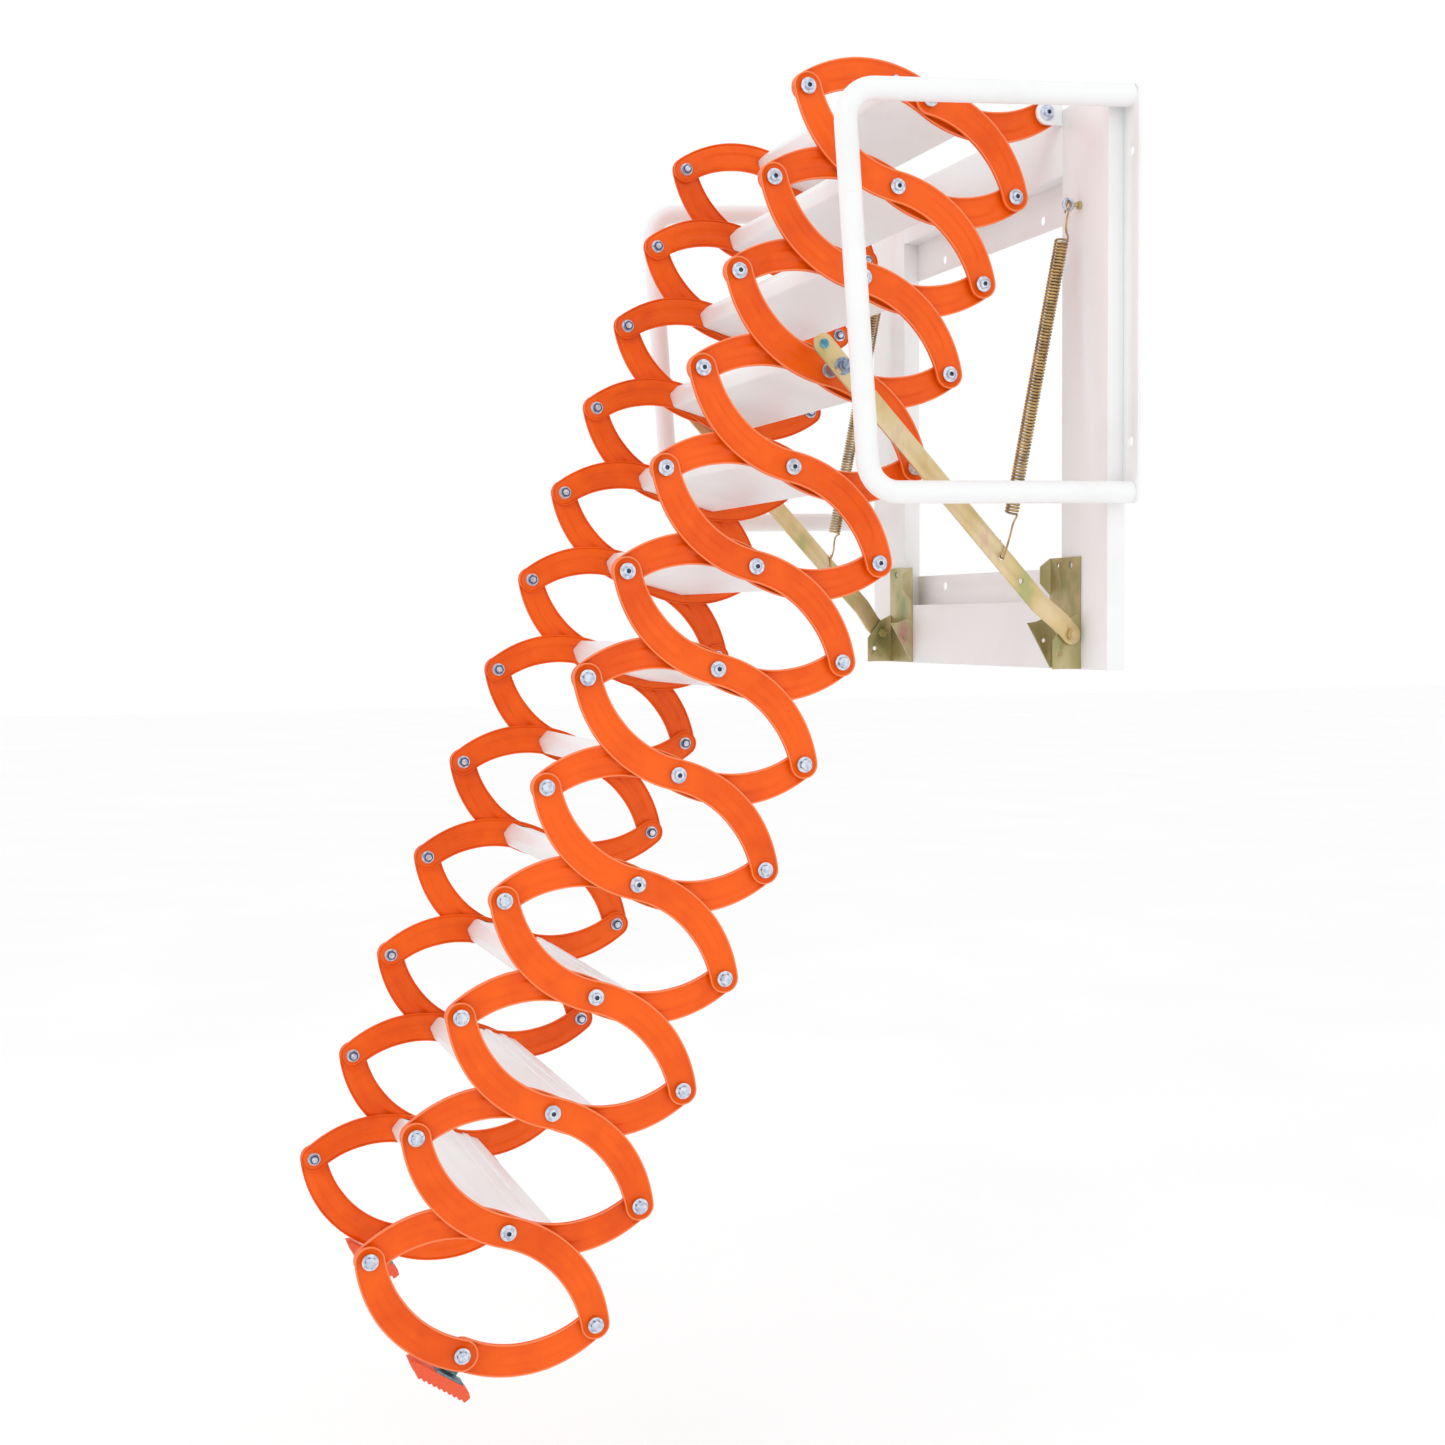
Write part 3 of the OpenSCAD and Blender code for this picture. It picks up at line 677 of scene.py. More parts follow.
# ---------------------------------------------------------------- links
@dataclass
class PressedLinks:
    """S-shaped pressed links: trays with a turned-up rim and a bead in each half."""

    lattice: Lattice
    palette: Palette
    patterns: Patterns
    bow: float = 0.027
    width: float = 0.043
    end_radius: float = 0.0195
    sheet: float = 0.0021
    full_share: float = 0.6
    bow_steps: int = 30
    end_steps: int = 14
    bead_from: float = 0.26
    bead_to: float = 0.82
    bead_half: float = 0.0075
    bead_rise: float = 0.0019
    # Half of the section: the share of the half width, and the height over the web's back
    section: tuple[Point, ...] = (
        (0.0, 0.0026), (0.14, 0.0026), (0.24, 0.0026), (0.31, 0.0026), (0.38, 0.0026), (0.46, 0.00265),
        (0.58, 0.0028), (0.70, 0.0031), (0.79, 0.0037), (0.855, 0.0047), (0.90, 0.0058), (0.928, 0.00635),
        (0.955, 0.0065), (0.980, 0.00635), (0.994, 0.0059), (1.0, 0.0052), (1.0, 0.0012))

    def __post_init__(self) -> None:
        """Works out the bow's circle and presses the two patterns, the whole link and its lower half."""
        half = self.lattice.pitch / 2
        self.bow_radius = (half ** 2 + self.bow ** 2) / (2 * self.bow)
        self.bow_half = math.asin(half / self.bow_radius)
        lower = self._half("lower_half")
        whole = Bench.cast("whole_link", [
            (lower, Matrix.Identity(4)),
            (lower, Matrix.Rotation(math.radians(180 + self.lattice.step), 4, "Z"))])
        self._cap(lower)
        self.whole = self._press(whole)
        self.lower = self._press(lower)

    def _half(self, name: str) -> bpy.types.Object:
        """The sheet of a half link along +x, from its middle pin to its round end."""
        mirror = [(-s, z) for s, z in reversed(self.section)]
        row = mirror + list(self.section[1:])
        lean = Vector((-math.sin(self.bow_half), math.cos(self.bow_half)))
        reach = self.width / 2
        piece = Bench.chain(name, [(*(lean * s * reach), z) for s, z in row])
        Bench.open(piece)
        bpy.ops.mesh.select_all(action="SELECT")
        centre = (self.lattice.pitch / 2, self.bow - self.bow_radius, 0)
        bpy.ops.mesh.spin(steps=self.bow_steps, angle=2 * self.bow_half, center=centre, axis=(0, 0, 1))
        self._taper(piece)
        pin = Vector((self.lattice.pitch, 0, 0))
        along = Vector((math.cos(self.bow_half), -math.sin(self.bow_half)))
        across = Vector((math.sin(self.bow_half), math.cos(self.bow_half)))

        def at_end(p: Vector) -> bool:
            """On the upper half of the band's last row."""
            off = (p - pin).to_2d()
            return abs(off.dot(along)) < 1e-5 and off.dot(across) > -1e-6 and off.length < 0.03

        Bench.pick(at_end)
        bpy.ops.mesh.spin(steps=self.end_steps, angle=math.pi, center=pin, axis=(0, 0, 1))
        Bench.close()
        Bench.weld(piece, outward=False)
        return piece

    def _cap(self, piece: bpy.types.Object) -> None:
        """Rounds a half link about its middle pin."""
        across = Vector((-math.sin(self.bow_half), math.cos(self.bow_half)))
        along = Vector((math.cos(self.bow_half), math.sin(self.bow_half)))
        Bench.open(piece)
        Bench.pick(lambda p: abs(p.to_2d().dot(along)) < 1e-5 and p.to_2d().dot(across) < 1e-6
                   and p.length < 0.03)
        bpy.ops.mesh.spin(steps=self.end_steps, angle=math.pi, center=(0, 0, 0), axis=(0, 0, 1))
        Bench.close()
        Bench.weld(piece, outward=False)

    def _share(self, p: Vector) -> tuple[float, float]:
        """Where a point of the lower half is: its share along the bow, and its distance across."""
        centre = Vector((self.lattice.pitch / 2, self.bow - self.bow_radius))
        off = p.to_2d() - centre
        angle = math.atan2(off.x, off.y)
        return (angle / self.bow_half + 1) / 2, off.length - self.bow_radius

    def _taper(self, piece: bpy.types.Object) -> None:
        """Narrows the band towards its end, and raises the bead."""
        work = bmesh.from_edit_mesh(piece.data)
        centre = Vector((self.lattice.pitch / 2, self.bow - self.bow_radius))
        for vertex in work.verts:
            share, across = self._share(vertex.co)
            narrow = max(0.0, (share - self.full_share) / (1 - self.full_share))
            factor = 1 + (self.end_radius / (self.width / 2) - 1) * narrow
            out = (vertex.co.to_2d() - centre).normalized()
            place = centre + out * (self.bow_radius + across * factor)
            vertex.co = Vector((place.x, place.y, vertex.co.z + self._bead(share, across)))
        bmesh.update_edit_mesh(piece.data)

    def _bead(self, share: float, across: float) -> float:
        """The height of the bead over the web."""
        length = 2 * self.bow_half * self.bow_radius
        start = self.bead_from * length + self.bead_half
        end = self.bead_to * length - self.bead_half
        along = share * length
        past = max(start - along, along - end, 0.0)
        distance = math.hypot(past, across)
        fade = min(max((self.bead_half - distance) / 0.0032, 0.0), 1.0)
        return self.bead_rise * fade * fade * (3 - 2 * fade)

    def _press(self, piece: bpy.types.Object) -> bpy.types.Object:
        """Gives the sheet its thickness, the weight of the painted highlight on its rim's crest, and its paint."""
        data = piece.data
        Bench.grab(piece)
        if sum(f.normal.z * f.area for f in data.polygons) < 0:
            data.flip_normals()
        Bench.weld(piece, outward=False)
        Bench.modify(piece, "SOLIDIFY", thickness=self.sheet, offset=-1.0, use_even_offset=True)
        Bench.soften(piece, 0.0004, 2, 50)
        Bench.smooth(60, piece)
        # Painted highlight: the top millimetre of the rim gets a weight up to 1, which the orange paint turns pale.
        rim_highlight_mask = data.attributes.new("rim", "FLOAT", "POINT")
        top = max(z for _, z in self.section)
        for vertex, value in zip(data.vertices, rim_highlight_mask.data):
            value.value = min(max((vertex.co.z - top + 0.0012) / 0.0010, 0.0), 1.0)
        Bench.paint(piece, self.palette.orange)
        return self.patterns.keep(piece)

    def build(self) -> None:
        """Casts every stage's pair of outer and inner links."""
        lat = self.lattice
        fold = Matrix.Scale(-1, 4, (0, 1, 0))
        upper = Matrix.Rotation(math.radians(180 + lat.step), 4, "Z")
        for stage in range(lat.stages + 1):
            pin = lat.middle(stage)
            pattern, turn = self.whole, Matrix.Identity(4)
            if stage in (0, lat.stages):
                pattern = self.lower
                turn = upper if stage == lat.stages else turn
            outer = lat.view(pin, lat.outer_x, lat.heading + lat.opening(stage)) @ turn
            self._hang(f"outer_links_{stage:02d}", f"outer_stage_{stage:02d}", pattern, outer)
            pattern, turn = (self.lower, upper) if stage == lat.stages else (self.whole, Matrix.Identity(4))
            inner = lat.view(pin, lat.inner_x, lat.heading - lat.opening(stage)) @ fold @ turn
            self._hang(f"inner_links_{stage:02d}", f"inner_stage_{stage:02d}", pattern, inner)

    def _hang(self, node: str, body: str, pattern: bpy.types.Object, matrix: Matrix) -> None:
        """Puts a pair of links on its body, in place of its CAD node."""
        piece = Bench.cast("pressed_" + node, [(pattern, m) for m in self.lattice.both(matrix)])
        Bench.hang(piece, node, body, Finish.ORANGE)


# ---------------------------------------------------------------- bolts
class Head(Enum):
    """The two kinds of pivot bolt head."""

    SOCKET = "button head with a hexagon socket"
    HEXAGON = "hexagon head"


@dataclass
class PivotBolts:
    """Pivot bolts with washers and lock nuts, and the tread screws."""

    lattice: Lattice
    palette: Palette
    patterns: Patterns
    washer_radius: float = 0.0095
    broad_washer: float = 0.0108
    washer_thick: float = 0.0015
    head_radius: float = 0.0075
    head_height: float = 0.0042
    socket_radius: float = 0.0034
    socket_floor: float = 0.0014
    screw_radius: float = 0.0048
    screw_slot: float = 0.0016
    nut_radius: float = 0.0080
    first_hexagon: int = 6
    tread_screws: tuple[Point, ...] = ((0.047, 0.026), (-0.052, -0.020))

    def __post_init__(self) -> None:
        """Models the patterns."""
        self.heads = {Head.SOCKET: self._socket_head(), Head.HEXAGON: self._hexagon_head()}
        self.nut = self._lock_nut()
        self.spacer = self._spacer()
        self.screw = self._tread_screw()

    def _washer(self, radius: float, low: float, high: float) -> bpy.types.Object:
        """A washer with rounded edges."""
        piece = Bench.peg(radius, (0, 0, low), (0, 0, high), 36)
        Bench.soften(piece, 0.00035, 2)
        Bench.paint(piece, self.palette.bolt)
        return piece

    def _socket_head(self) -> bpy.types.Object:
        """A washer and a low round head with a hexagon socket, its inside painted dark as shade."""
        seat, top = self.washer_thick, self.washer_thick + self.head_height
        washer = self._washer(self.broad_washer, 0, seat)
        head = Bench.peg(self.head_radius * 0.86, (0, 0, seat), (0, 0, top), 36)
        Bench.round_top(head, top - 0.0004, 0.0017, 4)
        # Painted shade: the socket's walls and floor get the dark shade colour.
        Bench.paint(head, self.palette.bolt, self.palette.socket_shade)
        hole = Bench.peg(self.socket_radius, (0, 0, seat + self.socket_floor), (0, 0, top + 0.001), 6)
        Bench.paint(hole, self.palette.socket_shade)
        Bench.cut(head, hole)
        Bench.mark(head, lambda p: p.to_2d().length < self.socket_radius + 0.0002
                   and seat + 0.0005 < p.z < top - 0.0002)
        Bench.smooth(40, head, washer)
        return self.patterns.keep(Bench.join("socket_head", [head, washer]))

    def _hexagon_head(self) -> bpy.types.Object:
        """A washer and a chamfered hexagon head, its hexagon painted darker than its dome as shade."""
        seat, top = self.washer_thick, self.washer_thick + self.head_height
        washer = self._washer(self.broad_washer, 0, seat)
        head = Bench.peg(self.head_radius * 1.02, (0, 0, seat), (0, 0, top), 6)
        dome = Bench.peg(self.head_radius * 0.93, (0, 0, seat), (0, 0, top + 0.0002), 36)
        Bench.round_top(dome, top - 0.0004, 0.0012, 3)
        Bench.round_top(head, top - 0.0004, 0.0009, 2)
        # Painted shade: the hexagon's sides get the darker zinc, the dome the bright one.
        Bench.paint(head, self.palette.dark_zinc)
        Bench.paint(dome, self.palette.bolt)
        Bench.smooth(30, head, dome)
        Bench.smooth(40, washer)
        return self.patterns.keep(Bench.join("hexagon_head", [head, dome, washer]))

    def _lock_nut(self) -> bpy.types.Object:
        """A washer, a lock nut with its nylon ring and the bolt's end, all below zero."""
        washer = self._washer(self.washer_radius, -self.washer_thick, 0)
        low = -self.washer_thick
        nut = Bench.peg(self.nut_radius, (0, 0, low - 0.0042), (0, 0, low), 6)
        Bench.soften(nut, 0.0006, 2)
        Bench.paint(nut, self.palette.dark_zinc)
        collar = Bench.peg(self.nut_radius * 0.80, (0, 0, low - 0.0055), (0, 0, low - 0.003), 32)
        Bench.soften(collar, 0.0008, 3)
        Bench.paint(collar, self.palette.nylon)
        tail = Bench.peg(0.0047, (0, 0, low - 0.0065), (0, 0, low), 24)
        Bench.soften(tail, 0.0007, 2)
        Bench.paint(tail, self.palette.bolt)
        Bench.smooth(40, washer, nut, collar, tail)
        return self.patterns.keep(Bench.join("lock_nut", [nut, washer, collar, tail]))

    def _spacer(self) -> bpy.types.Object:
        """The washer stack between an inner and an outer link."""
        piece = Bench.peg(0.0105, (0, 0, 0.0006), (0, 0, 0.0086), 32)
        Bench.soften(piece, 0.0005, 2)
        Bench.paint(piece, self.palette.bolt)
        Bench.smooth(40, piece)
        return self.patterns.keep(piece)

    def _tread_screw(self) -> bpy.types.Object:
        """A small round-headed screw with a socket painted dark as shade."""
        head = Bench.peg(self.screw_radius, (0, 0, 0), (0, 0, 0.0022), 28)
        Bench.round_top(head, 0.002, 0.0013, 3)
        # Painted shade: the slot's walls get the dark shade colour.
        Bench.paint(head, self.palette.bolt, self.palette.socket_shade)
        Bench.cut(head, Bench.peg(self.screw_slot, (0, 0, 0.0011), (0, 0, 0.003), 6))
        Bench.mark(head, lambda p: p.to_2d().length < self.screw_slot + 0.0001 and 0.0005 < p.z < 0.0020)
        Bench.smooth(40, head)
        head.name = "tread_screw"
        return self.patterns.keep(head)

    def _bolt(self, place: Vector, head: Head, seat: float, turn: float) -> list[Cast]:
        """The near and far casts of one pivot bolt."""
        lat = self.lattice
        return [(pattern, matrix) for pattern, x, angle in (
            (self.heads[head], seat, turn), (self.nut, lat.inner_x - 0.0003, turn + 11),
            (self.spacer, lat.inner_x, 0.0)) for matrix in lat.both(lat.view(place, x, angle))]

    def build(self) -> None:
        """Casts each stage's bolts."""
        lat = self.lattice
        for stage in range(lat.stages + 1):
            kind = Head.HEXAGON if stage >= self.first_hexagon else Head.SOCKET
            seat = 0.2603 if stage == 0 else lat.head_seat
            casts = self._bolt(lat.wall(stage - 1), kind, seat, 17.0 * stage)
            if stage < lat.stages:
                casts += self._bolt(lat.middle(stage), Head.SOCKET, lat.head_seat, 31.0 * stage)
                casts += self._bolt(lat.room(stage), kind, lat.head_seat, 23.0 * stage)
                casts += self._screws(stage)
            piece = Bench.cast(f"pivot_hardware_{stage:02d}", casts)
            Bench.hang(piece, f"pivot_bolts_{stage:02d}", f"inner_stage_{stage:02d}", Finish.BOLT)

    def _screws(self, stage: int) -> list[Cast]:
        """The screws that hold a tread to its inner links."""
        lat = self.lattice
        casts: list[Cast] = []
        for x, y in self.tread_screws:
            local = Matrix.Translation((x, -y, 0.0030))
            matrix = lat.view(lat.middle(stage), lat.inner_x, lat.heading - lat.opening(stage)) @ local
            casts += [(self.screw, m) for m in lat.both(matrix)]
        return casts


# ---------------------------------------------------------------- treads
@dataclass
class Treads:
    """Sheet folded into a wedge with a chamfered nose, two ribs on its top and a plate at each end."""

    lattice: Lattice
    palette: Palette
    patterns: Patterns
    tilt: float = 26.2
    rear: float = -0.071
    top: float = 0.014
    folds: tuple[Point, ...] = ((0.057, 0.014), (0.064, -0.0055), (0.0495, -0.021))
    rear_low: float = -0.002
    sheet: float = 0.0025
    ribs: tuple[float, ...] = (-0.050, -0.025)
    rib_half: float = 0.004
    rib_rise: float = 0.0022
    pin_hole: float = 0.0113

    @property
    def end(self) -> float:
        """Where the tread ends, just clear of its links' webs."""
        return self.lattice.inner_x + 0.0002

    def _profile(self) -> list[Point]:
        """The sheet's outer line, along the top from the rear, round the nose and back below."""
        points: list[Point] = [(self.rear, self.top)]
        for middle in self.ribs:
            points += [(middle - self.rib_half, self.top), (middle - self.rib_half * 0.7, self.top + self.rib_rise),
                       (middle + self.rib_half * 0.7, self.top + self.rib_rise), (middle + self.rib_half, self.top)]
        return points + list(self.folds) + [(self.rear, self.rear_low)]

    def _round_folds(self) -> None:
        """Rounds the open chain's folds."""
        Bench.pick(lambda p: any(math.dist(p[:2], fold) < 1e-5 for fold in self.folds))
        bpy.ops.mesh.bevel(offset=0.0035, segments=4, affect="VERTICES")

    def _sheet(self) -> bpy.types.Object:
        """The folded sheet between the end plates."""
        piece = Bench.chain("tread_sheet", [(x, y, -self.end) for x, y in self._profile()])
        Bench.open(piece)
        self._round_folds()
        bpy.ops.mesh.select_all(action="SELECT")
        bpy.ops.mesh.extrude_region_move(TRANSFORM_OT_translate={"value": (0, 0, 2 * self.end)})
        Bench.close()
        Bench.grab(piece)
        if sum(f.normal.to_2d().dot(f.center.to_2d()) * f.area for f in piece.data.polygons) < 0:
            piece.data.flip_normals()
        Bench.modify(piece, "SOLIDIFY", thickness=self.sheet, offset=-1.0, use_even_offset=True)
        Bench.soften(piece, 0.0004, 2, 60)
        return piece

    def _end_plate(self, side: int) -> bpy.types.Object:
        """The plate that closes one end, with a hole round the middle pin's nut."""
        inset = self.sheet / 2
        middle = Vector((-0.006, 0.0))
        corners = [(self.rear, self.top), *self.folds, (self.rear, self.rear_low)]
        pulled = [Vector(c) + (middle - Vector(c)).normalized() * inset for c in corners]
        plate = Bench.prism("end_plate", pulled, side * self.end, side * (self.end - self.sheet))
        Bench.cut(plate, Bench.peg(self.pin_hole, (0, 0, side * (self.end - 0.01)), (0, 0, side * (self.end + 0.01))))
        Bench.soften(plate, 0.0004, 2)
        return plate

    def _pattern(self) -> bpy.types.Object:
        """One tread in the side view, x toward the room along its links' straight line."""
        piece = Bench.join("tread", [self._sheet(), self._end_plate(-1), self._end_plate(1)])
        Bench.smooth(50, piece)
        piece.data.transform(Matrix.Rotation(math.radians(self.tilt), 4, "Z"))
        Bench.paint(piece, self.palette.white)
        return self.patterns.keep(piece)

    def build(self) -> None:
        """Casts the treads."""
        lat = self.lattice
        pattern = self._pattern()
        flip = Matrix.Scale(-1, 4, (0, 1, 0))
        for stage in range(lat.stages):
            matrix = lat.view(lat.middle(stage), 0.0, lat.heading - lat.opening(stage)) @ flip
            piece = Bench.cast(f"folded_tread_{stage:02d}", [(pattern, matrix)])
            Bench.hang(piece, f"tread_{stage:02d}", f"inner_stage_{stage:02d}", Finish.WHITE)


# ---------------------------------------------------------------- frame and levers
@dataclass
class SheetWork:
    """Frame sections, brackets and levers, whose CAD shape gets rounded folds and edges."""

    nodes: dict[str, bpy.types.Object]
    palette: Palette
    lattice: Lattice
    spring_eye: Point = (-0.046, 0.253)
    lever_hinge: Point = (-0.046, -0.338)
    lever_face: float = 0.3052
    lever_back: float = 0.2998
    lever_tip: float = 0.039

    def rounded(self, node: str, name: str, width: float, segments: int = 2) -> bpy.types.Object:
        """A merged copy of a CAD node with its edges rounded."""
        source = self.nodes[node]
        piece = source.copy()
        piece.data = source.data.copy()
        piece.parent = None
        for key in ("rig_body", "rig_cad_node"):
            if key in piece:
                del piece[key]
        piece.name = piece.data.name = name
        bpy.context.scene.collection.objects.link(piece)
        Bench.open(piece)
        bpy.ops.mesh.select_all(action="SELECT")
        bpy.ops.mesh.remove_doubles(threshold=1e-5)
        bpy.ops.mesh.dissolve_limited(angle_limit=math.radians(0.5))
        Bench.close()
        if piece.data.has_custom_normals:
            Bench.grab(piece)
            bpy.ops.mesh.customdata_custom_splitnormals_clear()
        Bench.soften(piece, width, segments)
        Bench.smooth(32, piece)
        return piece

    def build(self) -> None:
        """Makes the frame's sections, the brackets, the fasteners and the levers."""
        white, zinc = self.palette.white, self.palette.zinc
        for node, name, width, finish, paint in (
                ("frame_jambs", "folded_uprights", 0.0018, Finish.WHITE, white),
                ("frame_rails", "header_and_sill", 0.0009, Finish.WHITE, white),
                ("hanger_brackets", "hanger_plates", 0.0008, Finish.WHITE, white),
                ("lever_brackets", "hinge_brackets", 0.0006, Finish.YELLOW_ZINC, self.palette.olive)):
            piece = self.rounded(node, name, width, 3)
            Bench.paint(piece, paint)
            Bench.hang(piece, node, "wall_frame", finish)
        bolts = self.rounded("frame_fasteners", "eye_and_hinge_bolts", 0.0004, 3)
        Bench.paint(bolts, zinc, self.palette.bolt)
        self._mark(bolts, 1, self.spring_eye, 0.0102)
        Bench.hang(bolts, "frame_fasteners", "wall_frame", Finish.YELLOW_ZINC)
        levers = self.rounded("lever_arms", "lever_bars", 0.0007, 2)
        Bench.paint(levers, zinc, self.palette.rivet, self.palette.dark_zinc)
        crossing = self.lattice.middle(3)
        along = crossing - Vector(self.lever_hinge)
        tip = crossing + along.normalized() * self.lever_tip
        self._mark(levers, 2, crossing, 0.0085, self.lever_face)
        self._mark(levers, 2, crossing, 0.0125, 0.0, self.lever_back)
        self._mark(levers, 1, tip, 0.0085, self.lever_face)
        Bench.hang(levers, "lever_arms", "levers", Finish.YELLOW_ZINC)

    @staticmethod
    def _mark(piece: bpy.types.Object, index: int, place: Sequence[float], radius: float,
              low: float = 0.0, high: float = 1.0) -> None:
        """Paints the faces within a radius of a place in the side view and between two layers."""
        for face in piece.data.polygons:
            if math.dist(face.center[1:], place) < radius and low < abs(face.center.x) < high:
                face.material_index = index


# ---------------------------------------------------------------- handrails
@dataclass
class Handrails:
    """Bent tube handrails welded to drilled wall strips."""

    palette: Palette
    patterns: Patterns
    offset: float = 0.403
    radius: float = 0.015
    bend: float = 0.042
    path: tuple[Point, ...] = ((-0.0041, 0.3807), (-0.422, 0.356), (-0.388, -0.152), (-0.0041, -0.1461))
    strip_half: float = 0.0185
    strip_thick: float = 0.004
    strip_low: float = -0.161
    strip_high: float = 0.395
    holes: tuple[float, ...] = (0.308, -0.078)
    hole_radius: float = 0.0065

    def _tube(self) -> bpy.types.Object:
        """The tube, drawn straight and spun round its bends."""
        points = [Vector((self.offset, *p)) for p in self.path]
        first = (points[1] - points[0]).normalized()
        Bench.clear()
        bpy.ops.mesh.primitive_circle_add(
            vertices=40, radius=self.radius, location=points[0], fill_type="NOTHING",
            rotation=first.to_track_quat("Z", "X").to_euler())
        piece = bpy.context.object
        Bench.settle(piece)
        Bench.open(piece)
        bpy.ops.mesh.select_all(action="SELECT")
        at = points[0]
        for index in range(1, len(points)):
            heading = (points[index] - points[index - 1]).normalized()
            if index == len(points) - 1:
                self._draw(points[index] - at)
                break
            onward = (points[index + 1] - points[index]).normalized()
            turn = math.atan2(heading.y * onward.z - heading.z * onward.y, heading.dot(onward))
            trim = self.bend * math.tan(abs(turn) / 2)
            stop = points[index] - heading * trim
            self._draw(stop - at)
            side = Vector((0, -heading.z, heading.y)) * math.copysign(1.0, turn)
            bpy.ops.mesh.spin(steps=12, angle=-turn, center=stop + side * self.bend, axis=(1, 0, 0))
            at = points[index] + onward * trim
        Bench.close()
        Bench.weld(piece)
        Bench.smooth(60, piece)
        return piece

    @staticmethod
    def _draw(step: Vector) -> None:
        """Draws the open end out by a step."""
        bpy.ops.mesh.extrude_edges_move(TRANSFORM_OT_translate={"value": tuple(step)})

    def _strip(self) -> bpy.types.Object:
        """The wall strip with round corners and two holes."""
        x, half = self.offset, self.strip_half
        strip = Bench.slab((x - half, -self.strip_thick, self.strip_low), (x + half, 0, self.strip_high))
        Bench.open(strip)
        Bench.pick(lambda p: abs(p.y + self.strip_thick / 2) < 1e-5 and abs(abs(p.x - x) - half) < 1e-5
                   and (p.z > self.strip_high - 1e-4 or p.z < self.strip_low + 1e-4), "EDGE")
        bpy.ops.mesh.bevel(offset=0.012, segments=6, affect="EDGES")
        Bench.close()
        for z in self.holes:
            Bench.cut(strip, Bench.peg(self.hole_radius, (x, -0.02, z), (x, 0.02, z)))
        Bench.soften(strip, 0.0006, 2, 40)
        Bench.smooth(40, strip)
        return strip

    def build(self) -> None:
        """Makes the near handrail and its mirror image."""
        near = Bench.join("near_rail", [self._tube(), self._strip()])
        Bench.paint(near, self.palette.white)
        self.patterns.keep(near)
        piece = Bench.cast("bent_handrails", [(near, m) for m in Lattice.both(Matrix.Identity(4))])
        Bench.hang(piece, "handrails", "wall_frame", Finish.WHITE)


# ---------------------------------------------------------------- springs
@dataclass
class TensionSprings:
    """Close-wound tension springs with a hook at each end."""

    palette: Palette
    patterns: Patterns
    x: float = 0.3095
    eye: Point = (-0.046, 0.253)
    foot: Point = (-0.1458, -0.2314)
    coil_radius: float = 0.0084
    wire: float = 0.0016
    hook_wire: float = 0.0014
    pitch: float = 0.0044
    coil_from: float = 0.050
    coil_end: float = 0.060
    keep: float = 0.926

    def _coil(self, length: float) -> bpy.types.Object:
        """The coil along +z from its start."""
        turns = round((length - self.coil_from - self.coil_end) / self.pitch)
        Bench.clear()
        bpy.ops.mesh.primitive_circle_add(
            vertices=8, radius=self.wire, location=(self.coil_radius, 0, self.coil_from),
            rotation=(math.pi / 2, 0, 0), fill_type="NOTHING")
        piece = bpy.context.object
        Bench.settle(piece)
        Bench.modify(piece, "SCREW", axis="Z", angle=math.tau * turns, steps=16 * turns,
                     render_steps=16 * turns, screw_offset=self.pitch * turns, iterations=1)
        Bench.weld(piece, 1e-6)
        return piece

    def _wire(self, points: Sequence[Sequence[float]]) -> bpy.types.Object:
        """A bent end of the wire through points."""
        curve = bpy.data.curves.new("hook", "CURVE")
        curve.dimensions = "3D"
        spline = curve.splines.new("BEZIER")
        spline.bezier_points.add(len(points) - 1)
        for knot, point in zip(spline.bezier_points, points):
            knot.co = Vector(point)
            knot.handle_left_type = knot.handle_right_type = "AUTO"
        spline.resolution_u = 6
        curve.bevel_depth = self.hook_wire
        curve.bevel_resolution = 3
        curve.use_fill_caps = True
        hook = bpy.data.objects.new("hook", curve)
        bpy.context.scene.collection.objects.link(hook)
        Bench.grab(hook)
        bpy.ops.object.convert(target="MESH")
        return bpy.context.object

    def build(self) -> None:
        """Makes one spring and its mirror image, on a mesh of their own."""
        start, end = Vector(self.eye), Vector(self.foot)
        length = (end - start).length
        r, low = self.coil_radius, length - self.coil_end
        top_hook = self._wire([
            (r, 0, self.coil_from), (r * 0.75, r * 0.6, self.coil_from - 0.004),
            (0.003, 0.0035, self.coil_from - 0.012), (0, 0.0044, 0.026), (0, 0.0046, 0.010),
            (0, 0.0042, -0.001), (0, 0.0005, -0.0045), (0, -0.0042, -0.001), (0, -0.0050, 0.006),
            (0, -0.0046, 0.011)])
        turns = round((low - self.coil_from) / self.pitch)
        low = self.coil_from + turns * self.pitch
        low_hook = self._wire([
            (r, 0, low), (r * 0.7, r * 0.6, low + 0.004), (0.004, 0.003, low + 0.012),
            (0.004, 0, low + 0.030), (0.001, 0.001, length - 0.010), (0, 0, length - 0.002),
            (0, -0.006, length + 0.001), (0, -0.0105, length - 0.003), (-0.002, -0.0115, length - 0.012),
            (-0.004, -0.0115, length - 0.024)])
        spring = Bench.join("spring", [self._coil(length), top_hook, low_hook])
        Bench.paint(spring, self.palette.spring)
        Bench.smooth(60, spring)
        self.patterns.keep(spring)
        along = Vector((0, *(end - start).normalized()))
        out = Vector((1, 0, 0))
        across = out.cross(along)
        turn = Matrix((across, out, along)).transposed().to_4x4()
        place = Matrix.Translation((self.x, *start)) @ turn
        piece = Bench.cast("tension_springs", [(spring, m) for m in Lattice.both(place)])
        Bench.hang(piece, "springs", "spring_pair", Finish.SPRING)
        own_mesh(piece)


